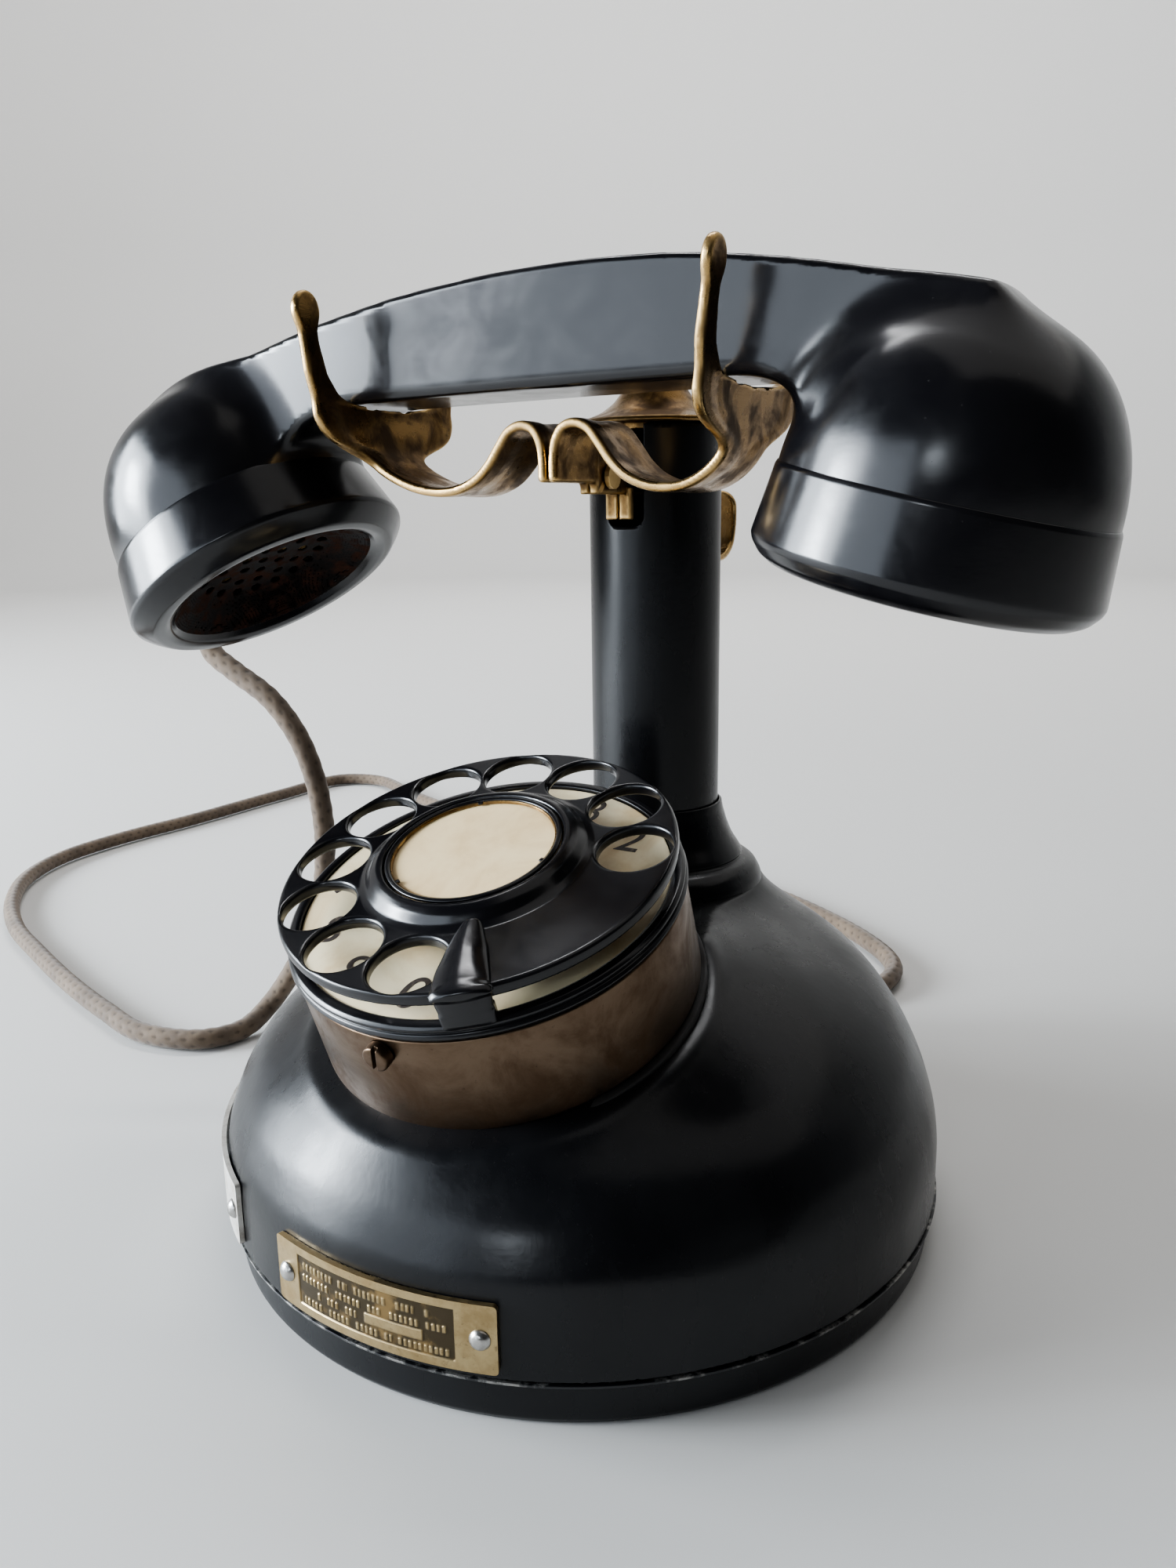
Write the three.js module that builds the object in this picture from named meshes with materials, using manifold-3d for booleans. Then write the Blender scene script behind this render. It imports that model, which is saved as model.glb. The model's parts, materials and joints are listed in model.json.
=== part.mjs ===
// A French-style cradle telephone: a bell-shaped base with a dial in a tilted can, a slotted
// column that carries a brass cradle lever, and a handset lying across the cradle's two forks.
//
// Frame: millimetres, +Z up, origin at the centre of the underside. The dial faces -Y, the
// handset lies along X, the column stands behind the centre.
import * as THREE from "three";
import { mergeVertices } from "three/addons/utils/BufferGeometryUtils.js";
import Module from "manifold-3d";

const wasm = await Module();
wasm.setup();

// ---- driving dimensions -------------------------------------------------------------------
const GAP = 0.3; // left between pieces that touch
const deg = THREE.MathUtils.degToRad;

const BASE = { radius: 79, seam: 9, wall: 2.6, footRadius: 77.6, footInner: 73.8, plate: 2 };
// The bell's cross-sections are circles whose centres move back towards the column.
const BELL = [
  { z: 9, y: 0, r: 79 },
  { z: 21, y: 0, r: 79 },
  { z: 28, y: 0.3, r: 77.6 },
  { z: 35, y: 1, r: 75.2 },
  { z: 41.5, y: 2.5, r: 71.6 },
  { z: 47.5, y: 6, r: 66 },
  { z: 52, y: 12, r: 58.6 },
  { z: 55.5, y: 19, r: 49.5 },
  { z: 58, y: 26, r: 40.5 },
  { z: 60.2, y: 32, r: 33 },
  { z: 62.3, y: 35.5, r: 28.6 },
  { z: 64, y: 36.5, r: 26.6 },
];
const COLUMN = { y: 36.5, radius: 15.2, bore: 12.8, foot: 50, top: 171.4 };
const SLOT = { half: 4.3, floor: 149.5, corner: 2 }; // in the column's front, for the lever
const PIVOT = { y: 36.5, z: 160, pin: 1.5, hole: 1.8 };
const DIAL = { y: -38.3, z: 88.7, tilt: 20 }; // centre of the finger wheel's top face
const WHEEL = { radius: 39, thick: 2.6, pitch: 30.9, hole: 7.2, count: 10, first: 70.4, step: 29 };
const CAN = { radius: 38.9, wall: 1.2, top: -10.6, floor: -32.3 };
const STOP_ANGLE = 150; // clockwise from twelve o'clock, which points at the column
const GEAR = { module: 0.8, wheelTeeth: 48, pinionTeeth: 12, z: -17, thick: 2 };
const SHEET = 2; // thickness of the cradle's brass
const CRADLE_MID = -1.8; // the cradle's and the handset's mid-plane in Y
const GRIP = { front: -14, back: 10 };
// Each end's cap: the centre of its rim, its lean, and its radius at the rim and at the seam.
const EAR = { x: 72.9, z: 142.5, tilt: 13.5, rim: 31.1, seam: 29.6, hole: 4 };
const MOUTH = { x: -85.6, z: 138.9, tilt: -31, rim: 34.8, seam: 32.3, hole: 17 };
const CAP_TOP = 13.2;
const BUSH = { bearing: 60, z: 20 }; // where the cord leaves the mouthpiece's cup
const CORD = { radius: 3, sides: 8, steps: 78 };
const GLAND = { z: 14.6, inner: 3.4, outer: 4.9 }; // bush in the base's back that the cord enters
const COIL = { y: -38, z: 18 };

// ---- small helpers ------------------------------------------------------------------------
const solidOf = (geometry) => {
  const bare = geometry.clone();
  bare.deleteAttribute("normal");
  bare.deleteAttribute("uv");
  const merged = mergeVertices(bare, 1e-4);
  return new wasm.Manifold(
    new wasm.Mesh({
      numProp: 3,
      vertProperties: merged.attributes.position.array,
      triVerts: new Uint32Array(merged.index.array),
    }),
  );
};

const geometryOf = (solid) => {
  const made = solid.getMesh();
  const geometry = new THREE.BufferGeometry();
  geometry.setAttribute("position", new THREE.BufferAttribute(made.vertProperties, 3));
  geometry.setIndex(new THREE.BufferAttribute(made.triVerts, 1));
  geometry.computeVertexNormals();
  return geometry;
};

const join = (...parts) => geometryOf(parts.map(solidOf).reduce((a, b) => a.add(b)));
const cut = (body, ...tools) =>
  geometryOf(tools.map(solidOf).reduce((a, b) => a.subtract(b), solidOf(body)));

const box = (x0, x1, y0, y1, z0, z1) =>
  new THREE.BoxGeometry(x1 - x0, y1 - y0, z1 - z0).translate(
    (x0 + x1) / 2,
    (y0 + y1) / 2,
    (z0 + z1) / 2,
  );

// A cylinder along Z from z0 to z1.
const rod = (radius, z0, z1, sides = 12) =>
  new THREE.CylinderGeometry(radius, radius, z1 - z0, sides)
    .rotateX(Math.PI / 2)
    .translate(0, 0, (z0 + z1) / 2);

// A solid of revolution about Z from [radius, height] pairs that start and end on the axis.
const turned = (profile, sides = 32) =>
  new THREE.LatheGeometry(profile.map(([r, z]) => new THREE.Vector2(r, z)), sides).rotateX(
    Math.PI / 2,
  );

// The same for a ring, whose profile closes on itself.
const ring = (profile, sides = 32) => turned([...profile, profile[0]], sides);

// A flat outline of [x, y] pairs, extruded along Z from z0 to z1.
const slab = (outline, z0, z1) =>
  new THREE.ExtrudeGeometry(new THREE.Shape(outline.map(([x, y]) => new THREE.Vector2(x, y))), {
    depth: z1 - z0,
    bevelEnabled: false,
  }).translate(0, 0, z0);

// A closed solid through rings of equal point count, its faces turned outwards.
const skin = (rings) => {
  const n = rings[0].length;
  const points = rings.flat();
  const faces = [];
  for (let i = 0; i + 1 < rings.length; i++)
    for (let j = 0; j < n; j++) {
      const a = i * n + j;
      const b = i * n + ((j + 1) % n);
      faces.push(a, b, b + n, a, b + n, a + n);
    }
  const last = (rings.length - 1) * n;
  for (let j = 1; j + 1 < n; j++) faces.push(0, j + 1, j, last, last + j, last + j + 1);
  const geometry = new THREE.BufferGeometry();
  geometry.setAttribute("position", new THREE.Float32BufferAttribute(points.flat(), 3));
  geometry.setIndex(faces);
  if (solidOf(geometry).volume() < 0) geometry.setIndex(faces.reverse());
  geometry.computeVertexNormals();
  return geometry;
};

// A stack of circles with moving centres, drawn in or out by `grow` in radius and `lift` in Z.
const bell = (sections, grow, lift, sides = 36) =>
  skin(
    sections.map(({ z, y, r }) =>
      Array.from({ length: sides }, (_, j) => {
        const t = (j / sides) * 2 * Math.PI;
        return [(r + grow) * Math.cos(t), y + (r + grow) * Math.sin(t), z + lift];
      }),
    ),
  );

// A piece of a cylinder's wall between two bearings, measured from -Y towards +X.
const curvedPlate = (r0, r1, from, to, z0, z1, steps = 10) => {
  const point = (r, i) => {
    const a = deg(from + ((to - from) * i) / steps);
    return [r * Math.sin(a), -r * Math.cos(a)];
  };
  const outer = Array.from({ length: steps + 1 }, (_, i) => point(r1, i));
  const inner = Array.from({ length: steps + 1 }, (_, i) => point(r0, steps - i));
  return slab([...outer, ...inner], z0, z1);
};

// A rod pointing outwards from the base's wall at a bearing.
const radialRod = (radius, from, to, bearing, z, sides = 12) =>
  rod(radius, from, to, sides)
    .rotateX(Math.PI / 2)
    .rotateZ(deg(bearing))
    .translate(0, 0, z);

// A bent sheet: rows of { x, z, front, rear } along its middle line, thickness across it.
const sheet = (rows, thickness = SHEET) => {
  const side = rows.map((row, i) => {
    const a = rows[Math.max(i - 1, 0)];
    const b = rows[Math.min(i + 1, rows.length - 1)];
    const length = Math.hypot(b.x - a.x, b.z - a.z);
    return [((b.z - a.z) / length) * (thickness / 2), (-(b.x - a.x) / length) * (thickness / 2)];
  });
  return skin(
    rows.map(({ x, z, front, rear }, i) => {
      const [nx, nz] = side[i];
      return [
        [x - nx, front, z - nz],
        [x - nx, rear, z - nz],
        [x + nx, rear, z + nz],
        [x + nx, front, z + nz],
      ];
    }),
  );
};

const gear = (teeth, bore) => {
  const pitch = (GEAR.module * teeth) / 2;
  const root = pitch - GEAR.module * 1.1;
  const tip = pitch + GEAR.module * 0.7;
  const step = (2 * Math.PI) / teeth;
  const outline = [];
  for (let i = 0; i < teeth; i++)
    for (const [r, share] of [
      [root, -0.27],
      [tip, -0.09],
      [tip, 0.09],
      [root, 0.27],
    ]) {
      const a = (i + share) * step;
      outline.push([r * Math.cos(a), r * Math.sin(a)]);
    }
  const blank = slab(outline, GEAR.z, GEAR.z + GEAR.thick);
  return bore ? cut(blank, rod(bore, GEAR.z - 1, GEAR.z + GEAR.thick + 1, 12)) : blank;
};

// Clockwise bearing on the dial, seen from above, to a point in the dial's own frame.
const onDial = (angle, radius) => [radius * Math.sin(deg(angle)), radius * Math.cos(deg(angle))];

// ---- materials ----------------------------------------------------------------------------
const finish = (color, roughness, metalness) =>
  new THREE.MeshStandardMaterial({ color, roughness, metalness });
const FINISH = {
  enamel: () => finish(0x14161a, 0.4, 0.2),
  ebonite: () => finish(0x101114, 0.28, 0),
  brass: () => finish(0x9a7a3c, 0.4, 1),
  nickel: () => finish(0x8a8072, 0.4, 1),
  steel: () => finish(0x8d8f92, 0.4, 1),
  cream: () => finish(0xe4d6b4, 0.6, 0),
  fibre: () => finish(0x5a3a26, 0.8, 0),
  copper: () => finish(0x8c4a2a, 0.5, 0.8),
  rubber: () => finish(0x16140f, 0.9, 0),
  braid: () => finish(0x4a4038, 0.95, 0),
};

const phone = new THREE.Group();
const dial = new THREE.Group();
dial.position.set(0, DIAL.y, DIAL.z);
dial.rotation.x = deg(DIAL.tilt);
const column = new THREE.Group();
column.position.set(0, COLUMN.y, 0);
const ear = new THREE.Group();
ear.position.set(EAR.x, CRADLE_MID, EAR.z);
ear.rotation.y = deg(EAR.tilt);
const mouth = new THREE.Group();
mouth.position.set(MOUTH.x, CRADLE_MID, MOUTH.z);
mouth.rotation.y = deg(MOUTH.tilt);
phone.add(dial, column, ear, mouth);

const add = (group, name, look, geometry) => {
  const mesh = new THREE.Mesh(geometry, FINISH[look]());
  mesh.name = name;
  group.add(mesh);
  return mesh;
};

// ---- base ---------------------------------------------------------------------------------
const COLLAR = [
  [26, 64.3],
  [25.8, 66.5],
  [24.4, 69],
  [22.6, 70.2],
  [21, 70.8],
  [21, 71.6],
  [20.4, 72.6],
  [18.3, 76.5],
  [16.9, 80.6],
  [15.9, 84.5],
];
const SEAT = { top: CAN.floor - 2.4, radius: 40.9 };

function buildBase() {
  const dialMatrix = new THREE.Matrix4()
    .makeRotationX(deg(DIAL.tilt))
    .setPosition(0, DIAL.y, DIAL.z);
  const seat = turned([
    [0, SEAT.top - 24],
    [61, SEAT.top - 24],
    [59.5, SEAT.top - 16],
    [51.5, SEAT.top - 7.4],
    [44.5, SEAT.top - 2.2],
    [SEAT.radius, SEAT.top],
    [0, SEAT.top],
  ]).applyMatrix4(dialMatrix);
  const seatHollow = turned([
    [0, SEAT.top - 28],
    [56, SEAT.top - 28],
    [56, SEAT.top - 18],
    [38, SEAT.top - 3],
    [0, SEAT.top - 3],
  ]).applyMatrix4(dialMatrix);
  const wireHole = rod(7, SEAT.top - 6, SEAT.top + 2, 14).applyMatrix4(dialMatrix);
  const canRoom = rod(SEAT.radius - GAP, SEAT.top, SEAT.top + 30, 36).applyMatrix4(dialMatrix);
  const envelope = rod(BASE.radius - 0.2, BASE.seam, 90, 40);
  const outer = solidOf(bell(BELL, 0, 0)).add(solidOf(seat).intersect(solidOf(envelope)));
  const collarRoom = turned([
    [0, COLLAR[0][1] - GAP],
    [COLLAR[0][0] + GAP, COLLAR[0][1] - GAP],
    ...COLLAR.slice(1).map(([r, z]) => [r + GAP, z + GAP]),
    [COLUMN.radius + GAP, 100],
    [0, 100],
  ]).translate(0, COLUMN.y, 0);
  const hollow = bell(BELL.slice(0, 9), -BASE.wall, -BASE.wall);
  const floorCut = rod(BASE.radius - BASE.wall, 0, BASE.seam + 3, 40);
  const columnHole = rod(COLUMN.radius + GAP, 40, 70, 24).translate(0, COLUMN.y, 0);
  const cordHole = rod(5.2, 60, 90, 12).rotateX(-Math.PI / 2).translate(0, 0, GLAND.z);
  const tools = [collarRoom, canRoom, hollow, floorCut, seatHollow, wireHole, columnHole, cordHole];
  const shell = tools.reduce((body, tool) => body.subtract(solidOf(tool)), outer);
  add(phone, "base_shell", "enamel", geometryOf(shell));

  const { footRadius: r, footInner: inner, seam } = BASE;
  const foot = ring([
    [inner, 0],
    [r - 0.8, 0],
    [r, 0.9],
    [r, seam - GAP],
    [inner, seam - GAP],
  ], 40);
  add(phone, "foot_ring", "enamel", foot);

  const screws = [90, 210, 330];
  const place = (geometry, bearing) => geometry.translate(58, 0, 0).rotateZ(deg(bearing));
  const holes = screws.map((bearing) => place(rod(3.6, -1, 3, 12), bearing));
  add(phone, "bottom_plate", "enamel", cut(rod(inner - GAP, 0, BASE.plate, 40), ...holes));
  screws.forEach((bearing, i) => {
    const screw = join(rod(3.2, 0.4, 1.8, 12), rod(1.6, 1.5, 8, 10));
    add(phone, `bottom_screw_${i + 1}`, "steel", place(screw, bearing));
  });
}

// Maker's plate on the front of the wall and an inspection plate to its left.
function buildPlates() {
  const low = 11.3;
  const high = 24.6;
  const mid = (low + high) / 2;
  const on = BASE.radius + GAP;
  const plates = [
    { name: "nameplate", look: "brass", from: -14.2, to: 20.3 },
    { name: "side_plate", look: "nickel", from: -62.5, to: -28.3 },
  ];
  const inset = 2.2;
  for (const { name, look, from, to } of plates) {
    const places = [from + inset, to - inset];
    const holes = places.map((bearing) => radialRod(1.3, 75, 85, bearing, mid));
    add(phone, name, look, cut(curvedPlate(on, on + 0.8, from, to, low, high), ...holes));
    places.forEach((bearing, i) => {
      const head = radialRod(2, on + 1.1, on + 2, bearing, mid, 14);
      const shank = radialRod(1, on, on + 1.5, bearing, mid, 8);
      add(phone, `${name}_rivet_${i + 1}`, "nickel", join(head, shank));
    });
  }
}

// Works inside the base: induction coil, terminal block and the bush the cord comes in by.
function buildWorks() {
  const coil = ring([
    [5.3, -24],
    [13, -24],
    [13, -21.5],
    [10, -21.5],
    [10, 21.5],
    [13, 21.5],
    [13, 24],
    [5.3, 24],
  ], 16);
  const core = rod(5, -27, 27, 12);
  const lay = (geometry) => geometry.rotateY(Math.PI / 2).translate(0, COIL.y, COIL.z);
  add(phone, "induction_coil", "copper", lay(coil));
  add(phone, "coil_core", "steel", lay(core));
  const block = box(-30, 30, 4, 20, 6, 16);
  const places = [-14, 14];
  const holes = places.map((x) => rod(2.4, 12, 20, 12).translate(x, 12, 0));
  add(phone, "terminal_block", "fibre", cut(block, ...holes));
  places.forEach((x, i) => {
    const screw = join(rod(2, 12.5, 17, 12), rod(3.4, 16.4, 18.4, 14));
    add(phone, `terminal_screw_${i + 1}`, "brass", screw.translate(x, 12, 0));
  });
  const gland = ring([
    [GLAND.inner, 74],
    [GLAND.outer, 74],
    [GLAND.outer, BASE.radius + GAP],
    [7, BASE.radius + GAP],
    [6.4, BASE.radius + 4],
    [GLAND.inner, BASE.radius + 5],
  ], 14).rotateX(-Math.PI / 2).translate(0, 0, GLAND.z);
  add(phone, "cord_gland", "rubber", gland);
}

// ---- column -------------------------------------------------------------------------------
function buildColumn() {
  const { radius, bore, foot, top } = COLUMN;
  const { half, floor, corner } = SLOT;
  const front = -radius - 2;
  const slot = join(
    box(-half, half, front, -bore + 4, floor + corner, top + 2),
    box(-half + corner, half - corner, front, -bore + 4, floor, top + 2),
  );
  const tube = ring([
    [bore, foot],
    [radius, foot],
    [radius, top],
    [bore, top],
  ], 28);
  const hookHole = rod(1.7, bore - 2, radius + 2, 12).rotateX(-Math.PI / 2).translate(0, 0, 157);
  add(column, "column_tube", "enamel", cut(tube, slot, hookHole));
  const collar = ring([...COLLAR, [radius + GAP, 84.5], [radius + GAP, 64.3]], 28);
  add(column, "neck_collar", "enamel", collar);
  const nut = cut(rod(20.5, foot + 1, foot + 5, 6), rod(radius + GAP, foot, foot + 6, 28));
  add(column, "column_nut", "steel", nut);
  const cap = turned([
    [0, top - 3],
    [bore - GAP, top - 3],
    [bore - GAP, top + GAP],
    [16.6, top + GAP],
    [17, top + 0.9],
    [16.4, top + 1.7],
    [12.8, top + 2.9],
    [9.6, top + 5],
    [7.4, top + 8],
    [6.2, top + 11],
    [5.9, top + 12.4],
    [7.1, top + 14],
    [7.3, top + 16],
    [5.4, top + 18.6],
    [2.4, top + 19.8],
    [0, top + 20],
  ], 24);
  add(column, "column_cap", "brass", cap);
}

// Hook on the back of the column for a second receiver.
function buildRearHook() {
  const back = COLUMN.radius + SHEET / 2 + GAP;
  const strip = [
    [back, 166],
    [back, 150],
    [back + 5, 143],
    [back + 12, 141],
    [back + 18, 144],
    [back + 20, 151],
    [back + 19, 158],
  ];
  const arms = strip.map(([y, z]) => ({ x: y, z, front: -4.5, rear: 4.5 }));
  const hook = sheet(arms).rotateZ(Math.PI / 2);
  const hole = rod(1.7, back - 3, back + 3, 12).rotateX(-Math.PI / 2).translate(0, 0, 157);
  add(column, "rear_hook", "brass", cut(hook, hole));
  const screw = join(rod(1.4, COLUMN.bore - 1, back + 2, 10), rod(2.8, back + 1.4, back + 3, 14));
  add(column, "rear_hook_screw", "steel", screw.rotateX(-Math.PI / 2).translate(0, 0, 157));
}

// Pivot pin with its bracket, and the contact springs that the lever's tail works.
function buildHookSwitch() {
  const cheeks = [box(-8, -6, -6, 6, 138, 164), box(6, 8, -6, 6, 138, 164)];
  const bridge = box(-8, 8, -6, 6, 136, 139);
  const pinHole = rod(PIVOT.hole, -10, 10, 14).rotateY(Math.PI / 2).translate(0, 0, PIVOT.z);
  add(column, "pivot_bracket", "steel", cut(join(...cheeks, bridge), pinHole));
  const pin = rod(PIVOT.pin, -9.5, 9.5, 14).rotateY(Math.PI / 2).translate(0, 0, PIVOT.z);
  add(column, "pivot_pin", "steel", pin);
  add(column, "contact_block", "fibre", box(-6, 6, -5, 5, 96, 106));
  [-2, 2].forEach((y, i) => {
    const blade = box(-2.5, 2.5, y - 0.25, y + 0.25, 106 + GAP, 132 - 2 * i);
    add(column, `contact_spring_${i + 1}`, "nickel", blade);
  });
}

// ---- cradle -------------------------------------------------------------------------------
// Each half leaves the lever, humps over, dips in a deep U and rises into a fork whose two
// prongs hold the grip from front and back. The left fork is bent further out than the right.
const STRIP = [
  [1.2, 158.6],
  [1.25, 163],
  [1.9, 166.6],
  [3.6, 169],
  [6.4, 169.7],
  [9.2, 168.6],
  [11.6, 165.8],
  [14.2, 162.4],
  [17.4, 159.6],
  [21.6, 157.8],
  [26.2, 157.2],
];
// From the bottom of the U outwards; spread is how far the fork is bent out.
const ARM = [
  { x: 30.8, z: 157.9, spread: 0.2 },
  { x: 34.8, z: 160.1, spread: 0.5 },
  { x: 37.5, z: 163, spread: 0.8 },
  { x: 38.5, z: 166, spread: 1 },
];
// Rows up the fork: its middle line, and how far its shoulders reach from the mid-plane.
const SHOULDER = [
  { x: 38.45, z: 165.2, half: 9 },
  { x: 38.6, z: 166.6, half: 13 },
  { x: 38.75, z: 168.6, half: 18.6 },
  { x: 38.9, z: 171, half: 21.8 },
  { x: 39.2, z: 173.4, half: 22.6 },
  { x: 39.5, z: 175, half: 22 },
];
const PRONG = [
  { x: 39.45, z: 174.6, inner: 12.9, outer: 22.4 },
  { x: 39.8, z: 177, inner: 15.7, outer: 23.4 },
  { x: 40.4, z: 181, inner: 17.5, outer: 24.4 },
  { x: 41.2, z: 186, inner: 18.1, outer: 24.8 },
  { x: 41.9, z: 191, inner: 18.1, outer: 25 },
  { x: 42.4, z: 194, inner: 17.5, outer: 25.6 },
  { x: 42.7, z: 196, inner: 18.3, outer: 25 },
  { x: 42.8, z: 196.8, inner: 19.9, outer: 23.8 },
];

// One half of the cradle on the +X side, its fork bent out by `bend` at the shoulder and by
// `tip` at the prongs' ends.
function cradleHalf(bend, tip) {
  const half = 8.7;
  const front = CRADLE_MID - half;
  const rear = CRADLE_MID + half;
  const [low, high] = [PRONG[0].z, PRONG.at(-1).z];
  const bent = (x, z) => x + bend + (tip - bend) * Math.max(0, (z - low) / (high - low));
  const strip = sheet([
    ...STRIP.map(([x, z]) => ({ x, z, front, rear })),
    ...ARM.map(({ x, z, spread }) => ({ x: x + bend * spread, z, front, rear })),
  ]);
  const shoulder = sheet(
    SHOULDER.map((row) => ({
      x: bent(row.x, row.z),
      z: row.z,
      front: CRADLE_MID - row.half,
      rear: CRADLE_MID + row.half,
    })),
  );
  const [prongFront, prongRear] = [-1, 1].map((side) =>
    sheet(
      PRONG.map(({ x, z, inner, outer }) => ({
        x: bent(x, z),
        z,
        front: CRADLE_MID + (side < 0 ? -outer : inner),
        rear: CRADLE_MID + (side < 0 ? -inner : outer),
      })),
    ),
  );
  const web = box(0.15, 2.2, rear - 1, PIVOT.y + 4.5, 156.4, 166.4);
  const tail = box(0.15, 3.2, 18.6, 20.4, 151, 157.5);
  const holes = [PIVOT.y, 11].map((y) =>
    rod(PIVOT.hole, -1, 4, 14).rotateY(Math.PI / 2).translate(0, y, PIVOT.z),
  );
  return cut(join(strip, shoulder, prongFront, prongRear, web, tail), ...holes);
}

function buildCradle() {
  add(phone, "cradle_right", "brass", cradleHalf(0, 0));
  const left = solidOf(cradleHalf(7.4, 4.6)).mirror([1, 0, 0]);
  add(phone, "cradle_left", "brass", geometryOf(left));
  const rivet = join(rod(1.4, -3.4, 3.4, 12), rod(2.6, 2.5, 3.6, 14), rod(2.6, -3.6, -2.5, 14));
  add(phone, "cradle_rivet", "brass", rivet.rotateY(Math.PI / 2).translate(0, 11, PIVOT.z));
  const arm = cut(
    box(2.5, 4.5, PIVOT.y - 4, PIVOT.y + 4, 142, 164),
    rod(PIVOT.hole, 0, 8, 14).rotateY(Math.PI / 2).translate(0, PIVOT.y, PIVOT.z),
  );
  add(phone, "switch_arm", "steel", arm);
}

// ---- dial ---------------------------------------------------------------------------------
function buildDial() {
  const can = turned([
    [0, CAN.floor],
    [CAN.radius, CAN.floor],
    [CAN.radius, CAN.top],
    [CAN.radius - CAN.wall, CAN.top],
    [CAN.radius - CAN.wall, CAN.floor + 1.5],
    [0, CAN.floor + 1.5],
  ], 36);
  const wires = rod(5, CAN.floor - 1, CAN.floor + 3, 12).translate(0, -14, 0);
  const screwAt = (geometry) =>
    geometry.rotateX(Math.PI / 2).rotateZ(deg(2.5)).translate(0, 0, -13.8);
  const hole = screwAt(rod(1.6, 36, 42, 12));
  add(dial, "dial_can", "nickel", cut(can, wires, hole));
  const shank = rod(1.3, CAN.radius - 0.9, CAN.radius + 1, 10);
  const screw = join(shank, rod(2.5, CAN.radius + GAP, CAN.radius + 2.6, 12));
  const slot = box(-0.4, 0.4, -4, 4, CAN.radius + 1.6, CAN.radius + 4);
  add(dial, "dial_can_screw", "nickel", screwAt(cut(screw, slot)));
  add(dial, "dial_gasket", "rubber", ring([
    [28, CAN.floor - 2.1],
    [39.9, CAN.floor - 2.1],
    [39.9, CAN.floor - GAP],
    [28, CAN.floor - GAP],
  ], 36));
  add(dial, "bezel_ring", "ebonite", ring([
    [36.8, -10.3],
    [38.9, -10.3],
    [39.4, -9.9],
    [39.5, -9.3],
    [38.9, -8.7],
    [39.2, -8.2],
    [38.9, -7.5],
    [38.1, -7],
    [36.8, -7],
  ], 36));
  add(dial, "number_plate", "cream", cut(rod(36.5, -8.4, -7.6, 36), rod(5, -10, -6, 14)));

  const holes = Array.from({ length: WHEEL.count }, (_, k) => {
    const [x, y] = onDial(WHEEL.first - k * WHEEL.step, WHEEL.pitch);
    return rod(WHEEL.hole, -5, 3, 16).translate(x, y, 0);
  });
  const disc = turned([
    [0, -WHEEL.thick],
    [WHEEL.radius - 0.4, -WHEEL.thick],
    [WHEEL.radius, -WHEEL.thick + 0.5],
    [WHEEL.radius, -0.5],
    [WHEEL.radius - 0.5, 0],
    [22.6, 0],
    [21.2, 0.8],
    [19.8, 2.4],
    [18.6, 2.9],
    [17.5, 2.9],
    [17.5, 1.2],
    [0, 1.2],
  ], 36);
  add(dial, "finger_wheel", "ebonite", cut(disc, ...holes));
  add(dial, "centre_card", "cream", rod(17.1, 1.5, 1.9, 28));
  add(dial, "card_ring", "ebonite", ring([
    [16, 2.2],
    [17.2, 2.2],
    [17.2, 2.8],
    [16, 2.8],
  ], 28));
  add(dial, "dial_shaft", "steel", rod(3, -27, -WHEEL.thick - GAP, 14));
  add(dial, "main_gear", "brass", gear(GEAR.wheelTeeth, 3.3));

  // A horn that rises outside the bezel and curves in over the wheel.
  const horn = slab([
    [-5.4, 41.4],
    [5.4, 41.4],
    [5, 39],
    [3.9, 36.4],
    [2.6, 32.8],
    [1, 29],
    [-1.1, 25],
    [-2.2, 25.6],
    [-2.6, 30],
    [-3.6, 35.4],
    [-4.8, 39],
  ], 0.8, 2.8);
  const post = box(-5.4, 5.4, 39.5, 41.4, -6.7, 2.8);
  const foot = box(-5.4, 5.4, 37.6, 41.4, -6.7, -3.4);
  const stop = join(horn, post, foot).rotateZ(-deg(STOP_ANGLE));
  add(dial, "finger_stop", "ebonite", stop);

  buildDialWorks();
}

function buildDialWorks() {
  const distance = (GEAR.module * (GEAR.wheelTeeth + GEAR.pinionTeeth)) / 2;
  const frame = cut(
    rod(CAN.radius - CAN.wall - GAP, -13.4, -11.6, 32),
    rod(3.4, -15, -10, 14),
    rod(1.6, -15, -10, 12).translate(distance, 0, 0),
  );
  add(dial, "dial_frame", "brass", frame);
  // The pinion's teeth are turned by half a tooth, so they stand in the wheel's gaps.
  const pinion = gear(GEAR.pinionTeeth, 0).rotateZ(Math.PI / GEAR.pinionTeeth + Math.PI);
  const shaft = rod(1.3, -26, -10.8, 12);
  add(dial, "governor_pinion", "steel", join(pinion, shaft).translate(distance, 0, 0));
  const rotor = cut(box(-7, 7, -2.4, 2.4, -25, -22), rod(1.6, -26, -21, 12));
  add(dial, "governor_weights", "brass", rotor.translate(distance, 0, 0));
  const cup = ring([
    [8.6, -26.5],
    [9.8, -26.5],
    [9.8, -20.5],
    [8.6, -20.5],
  ], 16);
  add(dial, "governor_cup", "brass", cup.translate(distance, 0, 0));
  add(dial, "pulse_block", "fibre", box(-34, -24, -6, 6, -19, -14));
  const blade = box(-23.7, -12, -0.3, 0.3, -24.5, -20.5);
  const root = box(-30, -22, -0.3, 0.3, -24.5, -19.3);
  add(dial, "pulse_contact", "nickel", join(blade, root));
  add(dial, "return_spring", "steel", spiralSpring());
}

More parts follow.
